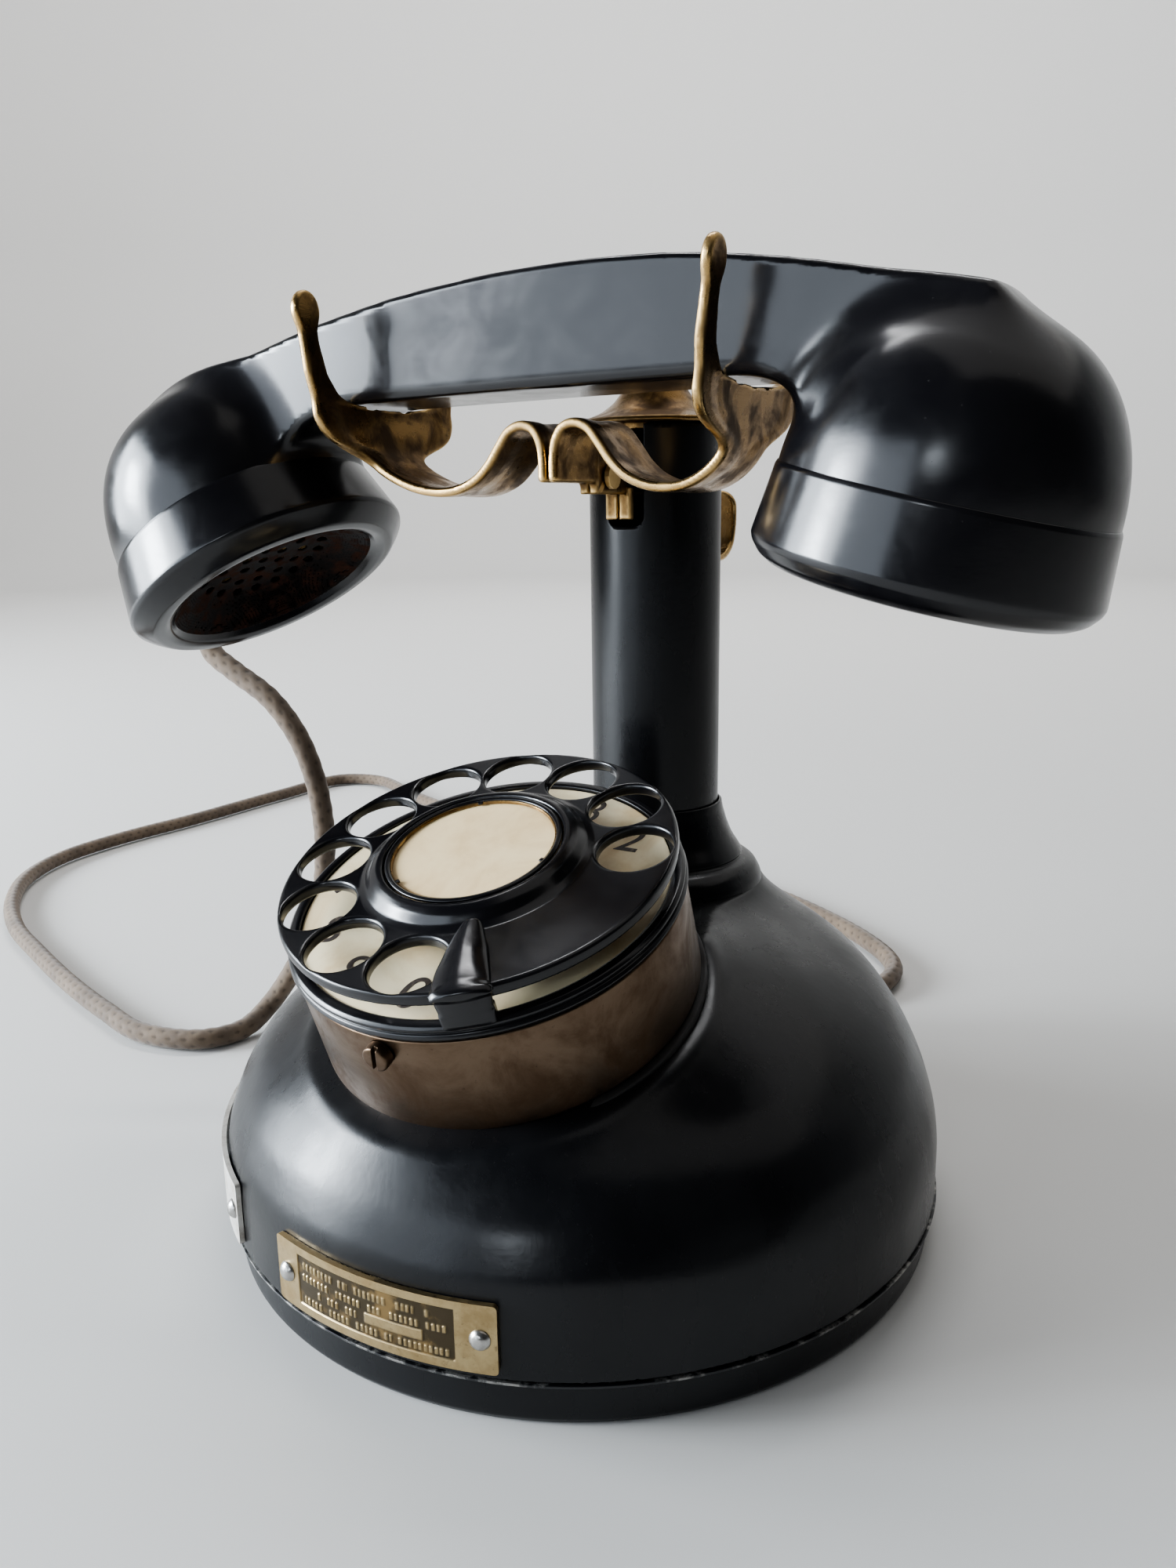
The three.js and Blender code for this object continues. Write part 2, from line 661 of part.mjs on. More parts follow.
// A flat spiral spring round the dial shaft.
function spiralSpring() {
  const turns = 2.25;
  const steps = 54;
  const at = (i, offset) => {
    const t = i / steps;
    const r = 4.4 + 3 * t + offset;
    const a = t * turns * 2 * Math.PI;
    return [r * Math.cos(a), r * Math.sin(a)];
  };
  const outer = Array.from({ length: steps + 1 }, (_, i) => at(i, 0.5));
  const inner = Array.from({ length: steps + 1 }, (_, i) => at(steps - i, 0));
  return slab([...outer, ...inner], -26, -21);
}

// ---- handset ------------------------------------------------------------------------------
// Each cup's radii and heights above the rim, from the seam to the crown.
const EAR_CUP = [
  [29.3, 13.6],
  [28, 19],
  [26.5, 26],
  [24.5, 31],
  [19.9, 36],
  [14, 39.6],
  [7, 42],
  [0, 42.8],
];
const MOUTH_CUP = [
  [31.8, 13.6],
  [30.9, 19],
  [30, 26],
  [29, 31],
  [26.5, 35.4],
  [20.1, 40],
  [12, 43],
  [0, 44.4],
];
const MOUTH_LEAN = 0.1; // how far the mouthpiece's cup leans inwards for each millimetre of height

// A piece built along +Z, laid along the way the cord leaves the mouthpiece's cup.
const towardsCord = (geometry) =>
  geometry
    .rotateX(-Math.PI / 2)
    .rotateZ(deg(BUSH.bearing))
    .translate(0, 0, BUSH.z);

function buildHandset() {
  const outline = [
    [-50, 175.8],
    [46, 176],
    [53, 172],
    [60, 162],
    [92, 168],
    [86, 185],
    [84, 186.6],
    [72, 189.6],
    [60, 192.4],
    [46, 195.2],
    [30, 197.4],
    [11, 198.4],
    [-10, 198],
    [-34, 196],
    [-58, 192],
    [-79, 187],
    [-98, 180.6],
    [-106, 177],
    [-104, 160],
    [-74, 160],
    [-60, 171],
  ];
  const grip = new THREE.ExtrudeGeometry(
    new THREE.Shape(outline.map(([x, z]) => new THREE.Vector2(x, z))),
    {
      depth: GRIP.back - GRIP.front - 2.4,
      bevelEnabled: true,
      bevelThickness: 1.2,
      bevelSize: 1.2,
      bevelOffset: -1.2,
      bevelSegments: 2,
    },
  )
    .rotateX(Math.PI / 2)
    .translate(0, GRIP.back - 1.2, 0);
  const seam = CAP_TOP + 0.4;
  const lean = new THREE.Matrix4()
    .makeShear(0, 0, 0, 0, MOUTH_LEAN, 0)
    .setPosition(MOUTH_LEAN * (4 - seam), 0, 0);
  const cups = [
    turned([[0, seam], ...EAR_CUP], 28),
    turned([[0, seam], ...MOUTH_CUP], 28).applyMatrix4(lean),
  ];
  const hollow = turned([
    [0, 10],
    [26.8, 10],
    [26.6, 19],
    [24.4, 25.6],
    [21, 29],
    [15, 32],
    [0, 34],
  ], 28);
  const ends = [ear, mouth].map((group) => {
    group.updateMatrix();
    return group.matrix;
  });
  const cordHole = towardsCord(rod(3.9, 20, 36, 14)).applyMatrix4(ends[1]);
  const capRoom = rod(36, -12, seam, 28);
  let body = solidOf(grip);
  ends.forEach((matrix, i) => {
    body = body.add(solidOf(cups[i].applyMatrix4(matrix)));
  });
  for (const matrix of ends)
    for (const tool of [hollow, capRoom])
      body = body.subtract(solidOf(tool.clone().applyMatrix4(matrix)));
  add(phone, "handset_body", "ebonite", geometryOf(body.subtract(solidOf(cordHole))));

  const cap = ({ rim, seam: top, hole }) =>
    ring([
      [top, CAP_TOP],
      [27.5, CAP_TOP],
      [27.5, 6.4],
      [26.8, 4.6],
      [hole, 4.6],
      [hole, 2.8],
      [rim - 12.2, -0.6],
      [rim - 8.8, -3.4],
      [rim - 7.2, -4.3],
      [rim - 4.4, -4.3],
      [rim - 1.9, -3],
      [rim - 0.4, -0.9],
      [rim, 0],
      [rim, 0.8],
    ], 32);
  add(ear, "earpiece_cap", "ebonite", cap(EAR));
  add(mouth, "mouthpiece_cap", "ebonite", cap(MOUTH));
  const capsule = turned([
    [0, 6.4],
    [25.6, 6.4],
    [25.6, 18],
    [18, 22],
    [0, 22],
  ], 24);
  add(ear, "receiver_capsule", "nickel", capsule);
  add(mouth, "transmitter_capsule", "brass", capsule);
  add(ear, "receiver_diaphragm", "steel", rod(26, 5, 5.5, 24));
  add(mouth, "transmitter_grille", "fibre", rod(26, 5, 5.8, 24));
  const bush = ring([
    [3.3, 26],
    [3.6, 26],
    [3.6, 31.8],
    [5.4, 31.8],
    [5, 36],
    [4, 38],
    [3.3, 38],
  ], 12);
  add(mouth, "handset_cord_bush", "rubber", towardsCord(bush));
}

// ---- cord ---------------------------------------------------------------------------------
// The braided cord's middle line: from the bush at the back of the mouthpiece cup down to the
// table, round in one wide loop, and into the bush at the back of the base.
const CORD_ROUTE = [
  [-123.6, 17, 139.3],
  [-128, 19.6, 136.4],
  [-133.6, 21.4, 130.4],
  [-136.4, 21.4, 122.4],
  [-134, 21, 115.4],
  [-126, 21, 110.4],
  [-113, 21.6, 103],
  [-104.6, 22.6, 93],
  [-100.6, 24, 81],
  [-100.4, 26, 68],
  [-103.4, 28.6, 54.8],
  [-107.6, 30, 41.4],
  [-114.4, 30.4, 28.2],
  [-121.4, 29.8, 16.8],
  [-127.4, 25.6, 6.8],
  [-127.6, 15, 3.3],
  [-133, 3.6, 3.3],
  [-152, -2, 3.3],
  [-175, 3, 3.3],
  [-205, 12, 3.3],
  [-238, 24, 3.3],
  [-270, 37, 3.3],
  [-299, 55, 3.3],
  [-323, 78, 3.3],
  [-337, 106, 3.3],
  [-340, 140, 3.3],
  [-337, 180, 3.3],
  [-336, 240, 3.3],
  [-332, 284, 3.3],
  [-310, 292, 3.3],
  [-270, 272, 3.3],
  [-210, 248, 3.3],
  [-120, 229, 3.3],
  [-43, 210, 3.3],
  [14, 173, 3.3],
  [29, 152, 3.3],
  [27, 131, 3.4],
  [12, 116, 4],
  [2, 103, 8.4],
  [0, 86, 14.6],
];

function buildCord() {
  const points = CORD_ROUTE.map(([x, y, z]) => new THREE.Vector3(x, y, z));
  const path = new THREE.CatmullRomCurve3(points, false, "centripetal");
  const section = new THREE.Shape(
    Array.from({ length: CORD.sides }, (_, i) => {
      const a = (i / CORD.sides) * 2 * Math.PI;
      return new THREE.Vector2(CORD.radius * Math.cos(a), CORD.radius * Math.sin(a));
    }),
  );
  const tube = new THREE.ExtrudeGeometry(section, { steps: CORD.steps, extrudePath: path });
  add(phone, "handset_cord", "braid", geometryOf(solidOf(tube)));
}

buildBase();
buildPlates();
buildWorks();
buildColumn();
buildRearHook();
buildHookSwitch();
buildCradle();
buildDial();
buildHandset();
buildCord();

export default phone;
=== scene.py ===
"""The looks of a French-style cradle telephone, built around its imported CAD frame.

Shapes are worked out in millimetres and turned into metres as each mesh is made.
"""

import json
import math

import bmesh
import bpy
import numpy as np
from mathutils import Matrix, Vector


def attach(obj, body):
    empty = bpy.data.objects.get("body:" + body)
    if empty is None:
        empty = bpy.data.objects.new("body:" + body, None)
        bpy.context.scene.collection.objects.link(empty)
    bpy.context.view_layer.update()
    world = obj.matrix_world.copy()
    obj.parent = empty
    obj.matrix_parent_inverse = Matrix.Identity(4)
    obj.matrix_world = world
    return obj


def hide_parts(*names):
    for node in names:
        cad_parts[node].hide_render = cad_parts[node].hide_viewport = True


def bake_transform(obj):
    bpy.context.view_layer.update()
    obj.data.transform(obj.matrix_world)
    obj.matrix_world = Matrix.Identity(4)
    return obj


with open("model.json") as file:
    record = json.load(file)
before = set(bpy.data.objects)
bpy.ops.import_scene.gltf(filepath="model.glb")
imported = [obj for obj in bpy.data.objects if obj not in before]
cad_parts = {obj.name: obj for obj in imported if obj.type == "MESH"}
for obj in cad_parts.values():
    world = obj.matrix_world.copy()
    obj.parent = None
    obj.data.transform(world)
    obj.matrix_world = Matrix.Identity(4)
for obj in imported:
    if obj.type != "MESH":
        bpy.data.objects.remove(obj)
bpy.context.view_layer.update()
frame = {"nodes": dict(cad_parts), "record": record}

MM = 0.001
NODES = frame["nodes"]

# ---- driving dimensions, in millimetres, as in the CAD --------------------------------------
COLUMN_Y, COLUMN_RADIUS, COLUMN_BORE, COLUMN_FOOT, COLUMN_TOP = 36.5, 15.2, 12.8, 50, 171.4
SLOT_HALF, SLOT_FLOOR = 4.3, 149.5
DIAL_Y, DIAL_Z, DIAL_TILT = -38.3, 88.7, math.radians(20)
WHEEL_RADIUS, WHEEL_THICK, WHEEL_PITCH, HOLE_RADIUS = 39, 2.6, 30.9, 7.2
FIRST_HOLE, HOLE_STEP, HOLE_COUNT = 70.4, 29, 10
CAN_RADIUS, CAN_TOP, CAN_FLOOR = 38.9, -10.6, -32.3
STOP_ANGLE = 150
BASE_RADIUS, SEAM, FOOT_RADIUS, FOOT_INNER = 79, 9, 77.6, 73.8
CRADLE_MID, SHEET = -1.8, 2
EAR, EAR_TILT = (72.9, 142.5), math.radians(13.5)
EAR_RIM, EAR_SEAM, EAR_HOLE = 31.1, 29.6, 4
MOUTH, MOUTH_TILT = (-85.6, 138.9), math.radians(-31)
MOUTH_RIM, MOUTH_SEAM, MOUTH_HOLE = 34.8, 32.3, 17
CAP_TOP = 13.2
CORD_RADIUS = 3.0
PLATE_LOW, PLATE_HIGH = 11.3, 24.6



def shift(x, y, z):
    return Matrix.Translation((x, y, z))


def turn(angle, axis):
    return Matrix.Rotation(angle, 4, axis)


DIAL_FRAME = shift(0, DIAL_Y, DIAL_Z) @ turn(DIAL_TILT, "X")
COLUMN_FRAME = shift(0, COLUMN_Y, 0)
EAR_FRAME = shift(EAR[0], CRADLE_MID, EAR[1]) @ turn(EAR_TILT, "Y")
MOUTH_FRAME = shift(MOUTH[0], CRADLE_MID, MOUTH[1]) @ turn(MOUTH_TILT, "Y")
WORLD = Matrix.Identity(4)


def add_object(name, data):
    made = bpy.data.objects.new(name, data)
    bpy.context.scene.collection.objects.link(made)
    return made


# ---- camera ---------------------------------------------------------------------------------
CAMERA_PLACE = (0.12878, -0.21318, 0.15338)
CAMERA_TURN = (30.66, 13.16, -0.83)  # degrees to the left, down, and clockwise about the view


def make_camera():
    data = bpy.data.cameras.new("camera")
    data.lens = 27
    data.sensor_width = 36
    data.clip_start = 0.01
    camera = add_object("camera", data)
    yaw, pitch, roll = map(math.radians, CAMERA_TURN)
    camera.matrix_world = (
        shift(*CAMERA_PLACE) @ turn(yaw, "Z") @ turn(math.pi / 2 - pitch, "X") @ turn(roll, "Z")
    )
    bpy.context.scene.camera = camera


make_camera()


# ---- mesh makers ----------------------------------------------------------------------------
def new_object(name, vertices, faces, place=WORLD, smooth_angle=None):
    """A mesh from points in millimetres in the frame `place`, its edges past smooth_angle sharp."""
    mesh = bpy.data.meshes.new(name)
    mesh.from_pydata(
        [tuple(v) for v in np.asarray(vertices, float)], [], [tuple(map(int, f)) for f in faces]
    )
    mesh.transform(Matrix.Scale(MM, 4) @ place)
    mesh.validate()
    mesh.update()
    mesh.polygons.foreach_set("use_smooth", [True] * len(mesh.polygons))
    if smooth_angle is not None:
        mesh.set_sharp_from_angle(angle=math.radians(smooth_angle))
    return add_object(name, mesh)


def finish_piece(piece, body, slot, *stands_for, look=None):
    """Sets a piece on its body, in its slot's look or its own, and hides the nodes it replaces."""
    piece.data.materials.clear()
    piece.data.materials.append(look or LOOKS[slot])
    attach(piece, body)
    if stands_for:
        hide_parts(*stands_for)


def fillet(profile, radius, closed):
    """A polyline with its corners rounded, by up to a third of the shorter side."""
    points = [np.array(p, float) for p in profile]
    made = []
    for i, p in enumerate(points):
        if not closed and i in (0, len(points) - 1):
            made.append(p)
            continue
        a, b = points[i - 1], points[(i + 1) % len(points)]
        to_a, to_b = a - p, b - p
        la, lb = np.linalg.norm(to_a), np.linalg.norm(to_b)
        reach = min(radius, la / 3, lb / 3)
        start, end = p + to_a / la * reach, p + to_b / lb * reach
        for t in np.linspace(0, 1, 5):
            made.append((1 - t) ** 2 * start + 2 * t * (1 - t) * p + t * t * end)
    return made


def turned(name, profile, place=WORLD, radius=0.4, segments=128, closed=False):
    """A solid of revolution about the frame's Z axis from (radius, height) pairs."""
    outline = fillet(profile, radius, closed)
    angles = np.arange(segments) * 2 * math.pi / segments
    vertices, rows, faces = [], [], []
    for r, z in outline:
        ring = [(r * math.cos(a), r * math.sin(a), z) for a in angles] if r > 1e-6 else [(0, 0, z)]
        rows.append([len(vertices) + k % len(ring) for k in range(segments + 1)])
        vertices += ring
    for low, high in zip(rows, rows[1:] + rows[:1] * closed):
        for k in range(segments):
            corners = dict.fromkeys((low[k], low[k + 1], high[k + 1], high[k]))
            if len(corners) > 2:
                faces.append(tuple(corners))
    piece = new_object(name, vertices, faces, place)
    face_outwards(piece)
    piece.data.set_sharp_from_angle(angle=math.radians(38))
    return piece


def set_values(piece, name, values):
    """Stores one number a vertex, for a finish to read."""
    attribute = piece.data.attributes.new(name, "FLOAT", "POINT")
    attribute.data.foreach_set("value", values.astype(np.float32))


def face_outwards(piece):
    work = bmesh.new()
    work.from_mesh(piece.data)
    bmesh.ops.recalc_face_normals(work, faces=work.faces)
    work.to_mesh(piece.data)
    work.free()


def smooth_min(a, b, k):
    h = np.clip(0.5 + 0.5 * (b - a) / k, 0, 1)
    return b * (1 - h) + a * h - k * h * (1 - h)


def smooth_max(a, b, k):
    return -smooth_min(-a, -b, k)


def table(points, spread, low, high, step=0.05):
    """A smooth curve through (x, y) pairs, as a lookup: straight runs blurred over `spread`."""
    x = np.arange(low - 4 * spread, high + 4 * spread, step)
    xs, ys = zip(*points)
    y = np.interp(x, xs, ys)
    reach = int(3 * spread / step) + 1
    kernel = np.exp(-0.5 * (np.arange(-reach, reach + 1) * step / spread) ** 2)
    padded = np.pad(y, reach, mode="edge")
    return x, np.convolve(padded, kernel / kernel.sum(), mode="valid")


def look_up(curve, x):
    return np.interp(x, *curve)


CELL_EDGES = [(a, a | side) for a in range(8) for side in (1, 2, 4) if not a & side]


def implicit(name, field, low, high, step, place=WORLD):
    """The surface field(x, y, z) = 0 as an even quad mesh whose vertices lie on the surface."""
    axes = [np.arange(lo, hi + step, step) for lo, hi in zip(low, high)]
    grid = np.meshgrid(*axes, indexing="ij", sparse=True)
    value = np.broadcast_to(field(*grid), tuple(len(a) for a in axes)).astype(np.float32)
    inside = value < 0
    shape = tuple(n - 1 for n in inside.shape)
    corners = [
        inside[i : i + shape[0], j : j + shape[1], k : k + shape[2]]
        for k in (0, 1)
        for j in (0, 1)
        for i in (0, 1)
    ]
    some = np.logical_or.reduce(corners)
    every = np.logical_and.reduce(corners)
    cells = np.argwhere(some & ~every)
    number = np.full(shape, -1, np.int64)
    number[tuple(cells.T)] = np.arange(len(cells))
    offsets = np.array([(c & 1, c >> 1 & 1, c >> 2 & 1) for c in range(8)])
    at = [value[tuple((cells + o).T)] for o in offsets]
    total = np.zeros((len(cells), 3))
    count = np.zeros(len(cells))
    for a, b in CELL_EDGES:
        crosses = (at[a] < 0) != (at[b] < 0)
        gap = np.where(crosses, at[a] - at[b], 1)
        t = np.where(crosses, at[a] / gap, 0)[:, None]
        total += np.where(crosses[:, None], offsets[a] + t * (offsets[b] - offsets[a]), 0)
        count += crosses
    points = (cells + total / count[:, None]) * step + np.array([a[0] for a in axes])
    points = settle(field, points, step)
    faces = []
    for axis in range(3):
        u, v = (axis + 1) % 3, (axis + 2) % 3
        edges = np.argwhere(np.diff(inside, axis=axis))
        edges = edges[(edges[:, u] > 0) & (edges[:, v] > 0)]
        edges = edges[(edges[:, u] < shape[u]) & (edges[:, v] < shape[v])]
        ring = []
        for du, dv in ((-1, -1), (0, -1), (0, 0), (-1, 0)):
            cell = edges.copy()
            cell[:, u] += du
            cell[:, v] += dv
            ring.append(number[tuple(cell.T)])
        quads = np.stack(ring, 1)
        leaving = inside[tuple(edges.T)]
        quads[~leaving] = quads[~leaving][:, ::-1]
        faces.append(quads)
    piece = new_object(name, points, np.concatenate(faces), place)
    normals = gradient(field, points, step * 0.25)
    normals = normals @ np.array(place.to_3x3()).T
    normals /= np.linalg.norm(normals, axis=1)[:, None]
    piece.data.normals_split_custom_set_from_vertices([tuple(n) for n in normals])
    return piece


def gradient(field, points, h):
    x, y, z = points.T
    return np.stack(
        [
            field(x + h, y, z) - field(x - h, y, z),
            field(x, y + h, z) - field(x, y - h, z),
            field(x, y, z + h) - field(x, y, z - h),
        ],
        1,
    ) / (2 * h)


def settle(field, points, step):
    """Moves points onto the surface, each less than a cell away from where it began."""
    start = points.copy()
    for _ in range(4):
        slope = gradient(field, points, step * 0.2)
        size = np.maximum((slope**2).sum(1), 0.04)
        move = (field(*points.T) / size)[:, None] * slope
        points = points - move
        points = start + np.clip(points - start, -0.6 * step, 0.6 * step)
    return points


# ---- materials ------------------------------------------------------------------------------
def add_node(tree, kind, sockets=(), **values):
    """A new node, its properties set and each input set to a value or linked to an output."""
    made = tree.nodes.new(kind)
    for key, value in values.items():
        setattr(made, key, value)
    for key, value in dict(sockets).items():
        if isinstance(value, bpy.types.NodeSocket):
            tree.links.new(value, made.inputs[key])
        else:
            made.inputs[key].default_value = value
    return made


def map_range(tree, source, low, high, to_low, to_high):
    limits = {"From Min": low, "From Max": high, "To Min": to_low, "To Max": to_high}
    sockets = {"Value": source, **limits}
    made = add_node(tree, "ShaderNodeMapRange", sockets, interpolation_type="SMOOTHSTEP")
    return made.outputs["Result"]


class Shader:
    """A material's node tree, with short calls for the nodes that the finishes share."""

    def __init__(self, name, **sockets):
        self.material = bpy.data.materials.new(name)
        self.material.use_nodes = True
        self.tree = self.material.node_tree
        self.bsdf = self.tree.nodes["Principled BSDF"]
        self.place = add_node(self.tree, "ShaderNodeTexCoord").outputs["Object"]
        for key, value in sockets.items():
            self.bsdf.inputs[key.replace("_", " ")].default_value = value

    def noise(self, scale, detail=4, roughness=0.55, stretch=None, distortion=0.0):
        place = self.place
        if stretch:
            sockets = {"Vector": place, "Scale": stretch}
            place = add_node(self.tree, "ShaderNodeMapping", sockets).outputs["Vector"]
        sockets = {"Vector": place, "Scale": scale, "Detail": detail}
        sockets.update({"Roughness": roughness, "Distortion": distortion})
        return add_node(self.tree, "ShaderNodeTexNoise", sockets).outputs["Fac"]

    def ramp(self, source, low, high, to_low=0.0, to_high=1.0):
        return map_range(self.tree, source, low, high, to_low, to_high)

    def mix(self, share, a, b):
        a, b = ((*tone, 1) if isinstance(tone, tuple) else tone for tone in (a, b))
        sockets = {0: share, 6: a, 7: b}
        return add_node(self.tree, "ShaderNodeMix", sockets, data_type="RGBA").outputs[2]

    def maths(self, operation, a, b):
        return add_node(self.tree, "ShaderNodeMath", {0: a, 1: b}, operation=operation).outputs[0]

    def edges(self, low, high):
        """1 on worn convex edges, 0 on flats and hollows."""
        pointiness = add_node(self.tree, "ShaderNodeNewGeometry").outputs["Pointiness"]
        return self.ramp(pointiness, low, high)

    def attribute(self, name):
        return add_node(self.tree, "ShaderNodeAttribute", attribute_name=name).outputs["Fac"]

    def feed(self, socket, source):
        self.tree.links.new(source, self.bsdf.inputs[socket])

    def color(self, source):
        self.feed("Base Color", source)

    def roughness(self, source):
        self.feed("Roughness", source)

    def metallic(self, source):
        self.feed("Metallic", source)

    def bump(self, source, distance, strength=1.0):
        sockets = {"Height": source, "Distance": distance, "Strength": strength}
        self.feed("Normal", add_node(self.tree, "ShaderNodeBump", sockets).outputs["Normal"])


def enamel():
    """Stove enamel on steel: satin black, dusty, rubbed through to bare metal on sharp edges."""
    s = Shader("black_enamel", Roughness=0.34, Specular_IOR_Level=0.36)
    cloud = s.noise(28, 5)
    dust = s.ramp(s.noise(1500, 2, 0.7), 0.66, 0.8)
    black = s.mix(s.ramp(cloud, 0.35, 0.7), (0.0036, 0.0038, 0.0046), (0.0075, 0.0078, 0.0092))
    dusty = s.mix(s.maths("MULTIPLY", dust, 0.05), black, (0.32, 0.3, 0.27))
    chips = s.maths("MULTIPLY", s.edges(0.56, 0.62), s.ramp(s.noise(420, 4), 0.5, 0.62))
    s.color(s.mix(chips, dusty, (0.34, 0.33, 0.31)))
    smear = s.noise(65, 6, 0.6, stretch=(1, 1, 0.35))
    s.roughness(s.ramp(smear, 0.3, 0.72, 0.23, 0.35))
    orange_peel = s.noise(700, 3, 0.5)
    s.bump(orange_peel, 0.00006, 0.35)
    return s.material


def ebonite():
    """Polished hard rubber: near black, faintly brown, with fine rubbing marks and smears."""
    s = Shader("black_ebonite", Roughness=0.25, IOR=1.54)
    cloud = s.noise(36, 6)
    black = s.mix(s.ramp(cloud, 0.3, 0.75), (0.0038, 0.0038, 0.005), (0.0085, 0.008, 0.0092))
    lint = s.ramp(s.noise(1300, 2, 0.7), 0.7, 0.82)
    s.color(s.mix(s.maths("MULTIPLY", lint, 0.06), black, (0.4, 0.38, 0.35)))
    smear = s.noise(90, 7, 0.62, distortion=0.6)
    rub = s.noise(900, 3, 0.6, stretch=(0.08, 1, 1))
    smeared = s.ramp(smear, 0.3, 0.75, 0.15, 0.25)
    s.roughness(s.maths("ADD", smeared, s.maths("MULTIPLY", rub, 0.04)))
    s.bump(rub, 0.00003, 0.3)
    return s.material


def brass():
    """Bare old brass: golden on convex edges, partly rubbed wear and partly a painted edge
    highlight; brown and patchy elsewhere.
    """
    s = Shader("aged_brass", Metallic=1.0, Roughness=0.38)
    patch = s.ramp(s.noise(130, 7, 0.62, distortion=0.4), 0.38, 0.66)
    base = s.mix(patch, (0.27, 0.165, 0.066), (0.09, 0.054, 0.027))
    spots = s.ramp(s.noise(520, 5, 0.7), 0.6, 0.74)
    stained = s.mix(s.maths("MULTIPLY", spots, 0.75), base, (0.035, 0.022, 0.014))
    # golden convex edges: partly rubbed wear, partly a painted highlight along the edges
    rubbed = s.maths("MULTIPLY", s.edges(0.5, 0.58), 0.8)
    s.color(s.mix(rubbed, stained, (0.74, 0.52, 0.24)))
    s.roughness(s.ramp(patch, 0.0, 1.0, 0.26, 0.52))
    grain = s.noise(2400, 3, 0.6, stretch=(1, 0.12, 1))
    s.bump(s.maths("ADD", grain, s.maths("MULTIPLY", spots, 0.6)), 0.00005, 0.5)
    return s.material


def nickel():
    """Nickel plate gone brown, with fine turning marks and darker stains."""
    s = Shader("worn_nickel", Metallic=1.0, Roughness=0.4)
    stain = s.ramp(s.noise(75, 7, 0.66, distortion=0.5), 0.35, 0.7)
    base = s.mix(stain, (0.165, 0.118, 0.082), (0.1, 0.062, 0.038))
    specks = s.ramp(s.noise(900, 4, 0.7), 0.62, 0.76)
    s.color(s.mix(s.maths("MULTIPLY", specks, 0.7), base, (0.07, 0.048, 0.032)))
    s.roughness(s.ramp(stain, 0.0, 1.0, 0.28, 0.5))
    marks = s.noise(1700, 3, 0.6, stretch=(0.06, 0.06, 1))
    s.bump(s.maths("ADD", marks, s.maths("MULTIPLY", specks, 0.5)), 0.00004, 0.5)
    return s.material


def steel():
    s = Shader("plain_steel", Metallic=1.0, Roughness=0.35)
    stain = s.ramp(s.noise(300, 6, 0.6), 0.35, 0.7)
    s.color(s.mix(stain, (0.5, 0.49, 0.47), (0.3, 0.28, 0.26)))
    s.roughness(s.ramp(stain, 0.0, 1.0, 0.28, 0.46))
    s.bump(s.noise(2600, 3, 0.6), 0.00003, 0.4)
    return s.material


def cream(name, clean, stained, scale):
    """Old cream card or enamel with tea-coloured stains and specks of dirt."""
    s = Shader(name, Roughness=0.5)
    age = s.ramp(s.noise(scale, 7, 0.6, distortion=0.5), 0.4, 0.75)
    base = s.mix(age, clean, stained)
    dirt = s.ramp(s.noise(1100, 4, 0.7), 0.66, 0.78)
    s.color(s.mix(s.maths("MULTIPLY", dirt, 0.35), base, (0.16, 0.1, 0.06)))
    s.roughness(s.ramp(age, 0.0, 1.0, 0.38, 0.6))
    s.bump(s.noise(1800, 3), 0.00003, 0.3)
    return s.material


def fibre():
    s = Shader("brown_fibre", Roughness=0.75)
    grain = s.noise(700, 5, 0.6, stretch=(1, 0.2, 1))
    s.color(s.mix(s.ramp(grain, 0.3, 0.7), (0.075, 0.036, 0.02), (0.15, 0.078, 0.042)))
    s.roughness(s.ramp(grain, 0.2, 0.8, 0.6, 0.85))
    s.bump(grain, 0.0001, 0.4)
    return s.material


def dusty_grille():
    """Blackened fibre with brown dust lying in patches."""
    s = Shader("dusty_grille", Roughness=0.7, Specular_IOR_Level=0.05)
    dust = s.ramp(s.noise(240, 6, 0.65), 0.42, 0.68)
    s.color(s.mix(dust, (0.006, 0.004, 0.0035), (0.05, 0.022, 0.014)))
    s.roughness(s.ramp(dust, 0.0, 1.0, 0.45, 0.85))
    s.bump(s.noise(1300, 4), 0.00008, 0.5)
    return s.material


def worn_edge():
    """Enamel on a raised lip, rubbed through to the steel in places."""
    s = Shader("worn_edge", Roughness=0.4)
    bare = s.ramp(s.noise(170, 6, 0.7), 0.5, 0.64)
    s.color(s.mix(bare, (0.006, 0.0065, 0.008), (0.36, 0.35, 0.33)))
    s.metallic(bare)
    s.roughness(s.ramp(bare, 0.0, 1.0, 0.3, 0.45))
    s.bump(bare, 0.00004, 0.5)
    return s.material


def copper():
    s = Shader("wound_copper", Metallic=1.0, Roughness=0.4)
    turns = s.noise(1500, 2, 0.5, stretch=(1, 0.05, 0.05))
    s.color(s.mix(s.ramp(turns, 0.35, 0.65), (0.42, 0.16, 0.075), (0.2, 0.07, 0.035)))
    s.roughness(s.ramp(turns, 0.3, 0.7, 0.3, 0.5))
    s.bump(turns, 0.00012, 0.8)
    return s.material


def dull_plate():
    """Nickel plate gone matt and pale, with darker stains."""
    s = Shader("dull_plate", Metallic=0.8, Roughness=0.55)
    stain = s.ramp(s.noise(190, 6, 0.65), 0.42, 0.7)
    s.color(s.mix(stain, (0.74, 0.72, 0.68), (0.46, 0.42, 0.37)))
    s.roughness(s.ramp(stain, 0.0, 1.0, 0.48, 0.66))
    s.bump(s.noise(2000, 3, 0.6), 0.00004, 0.4)
    return s.material


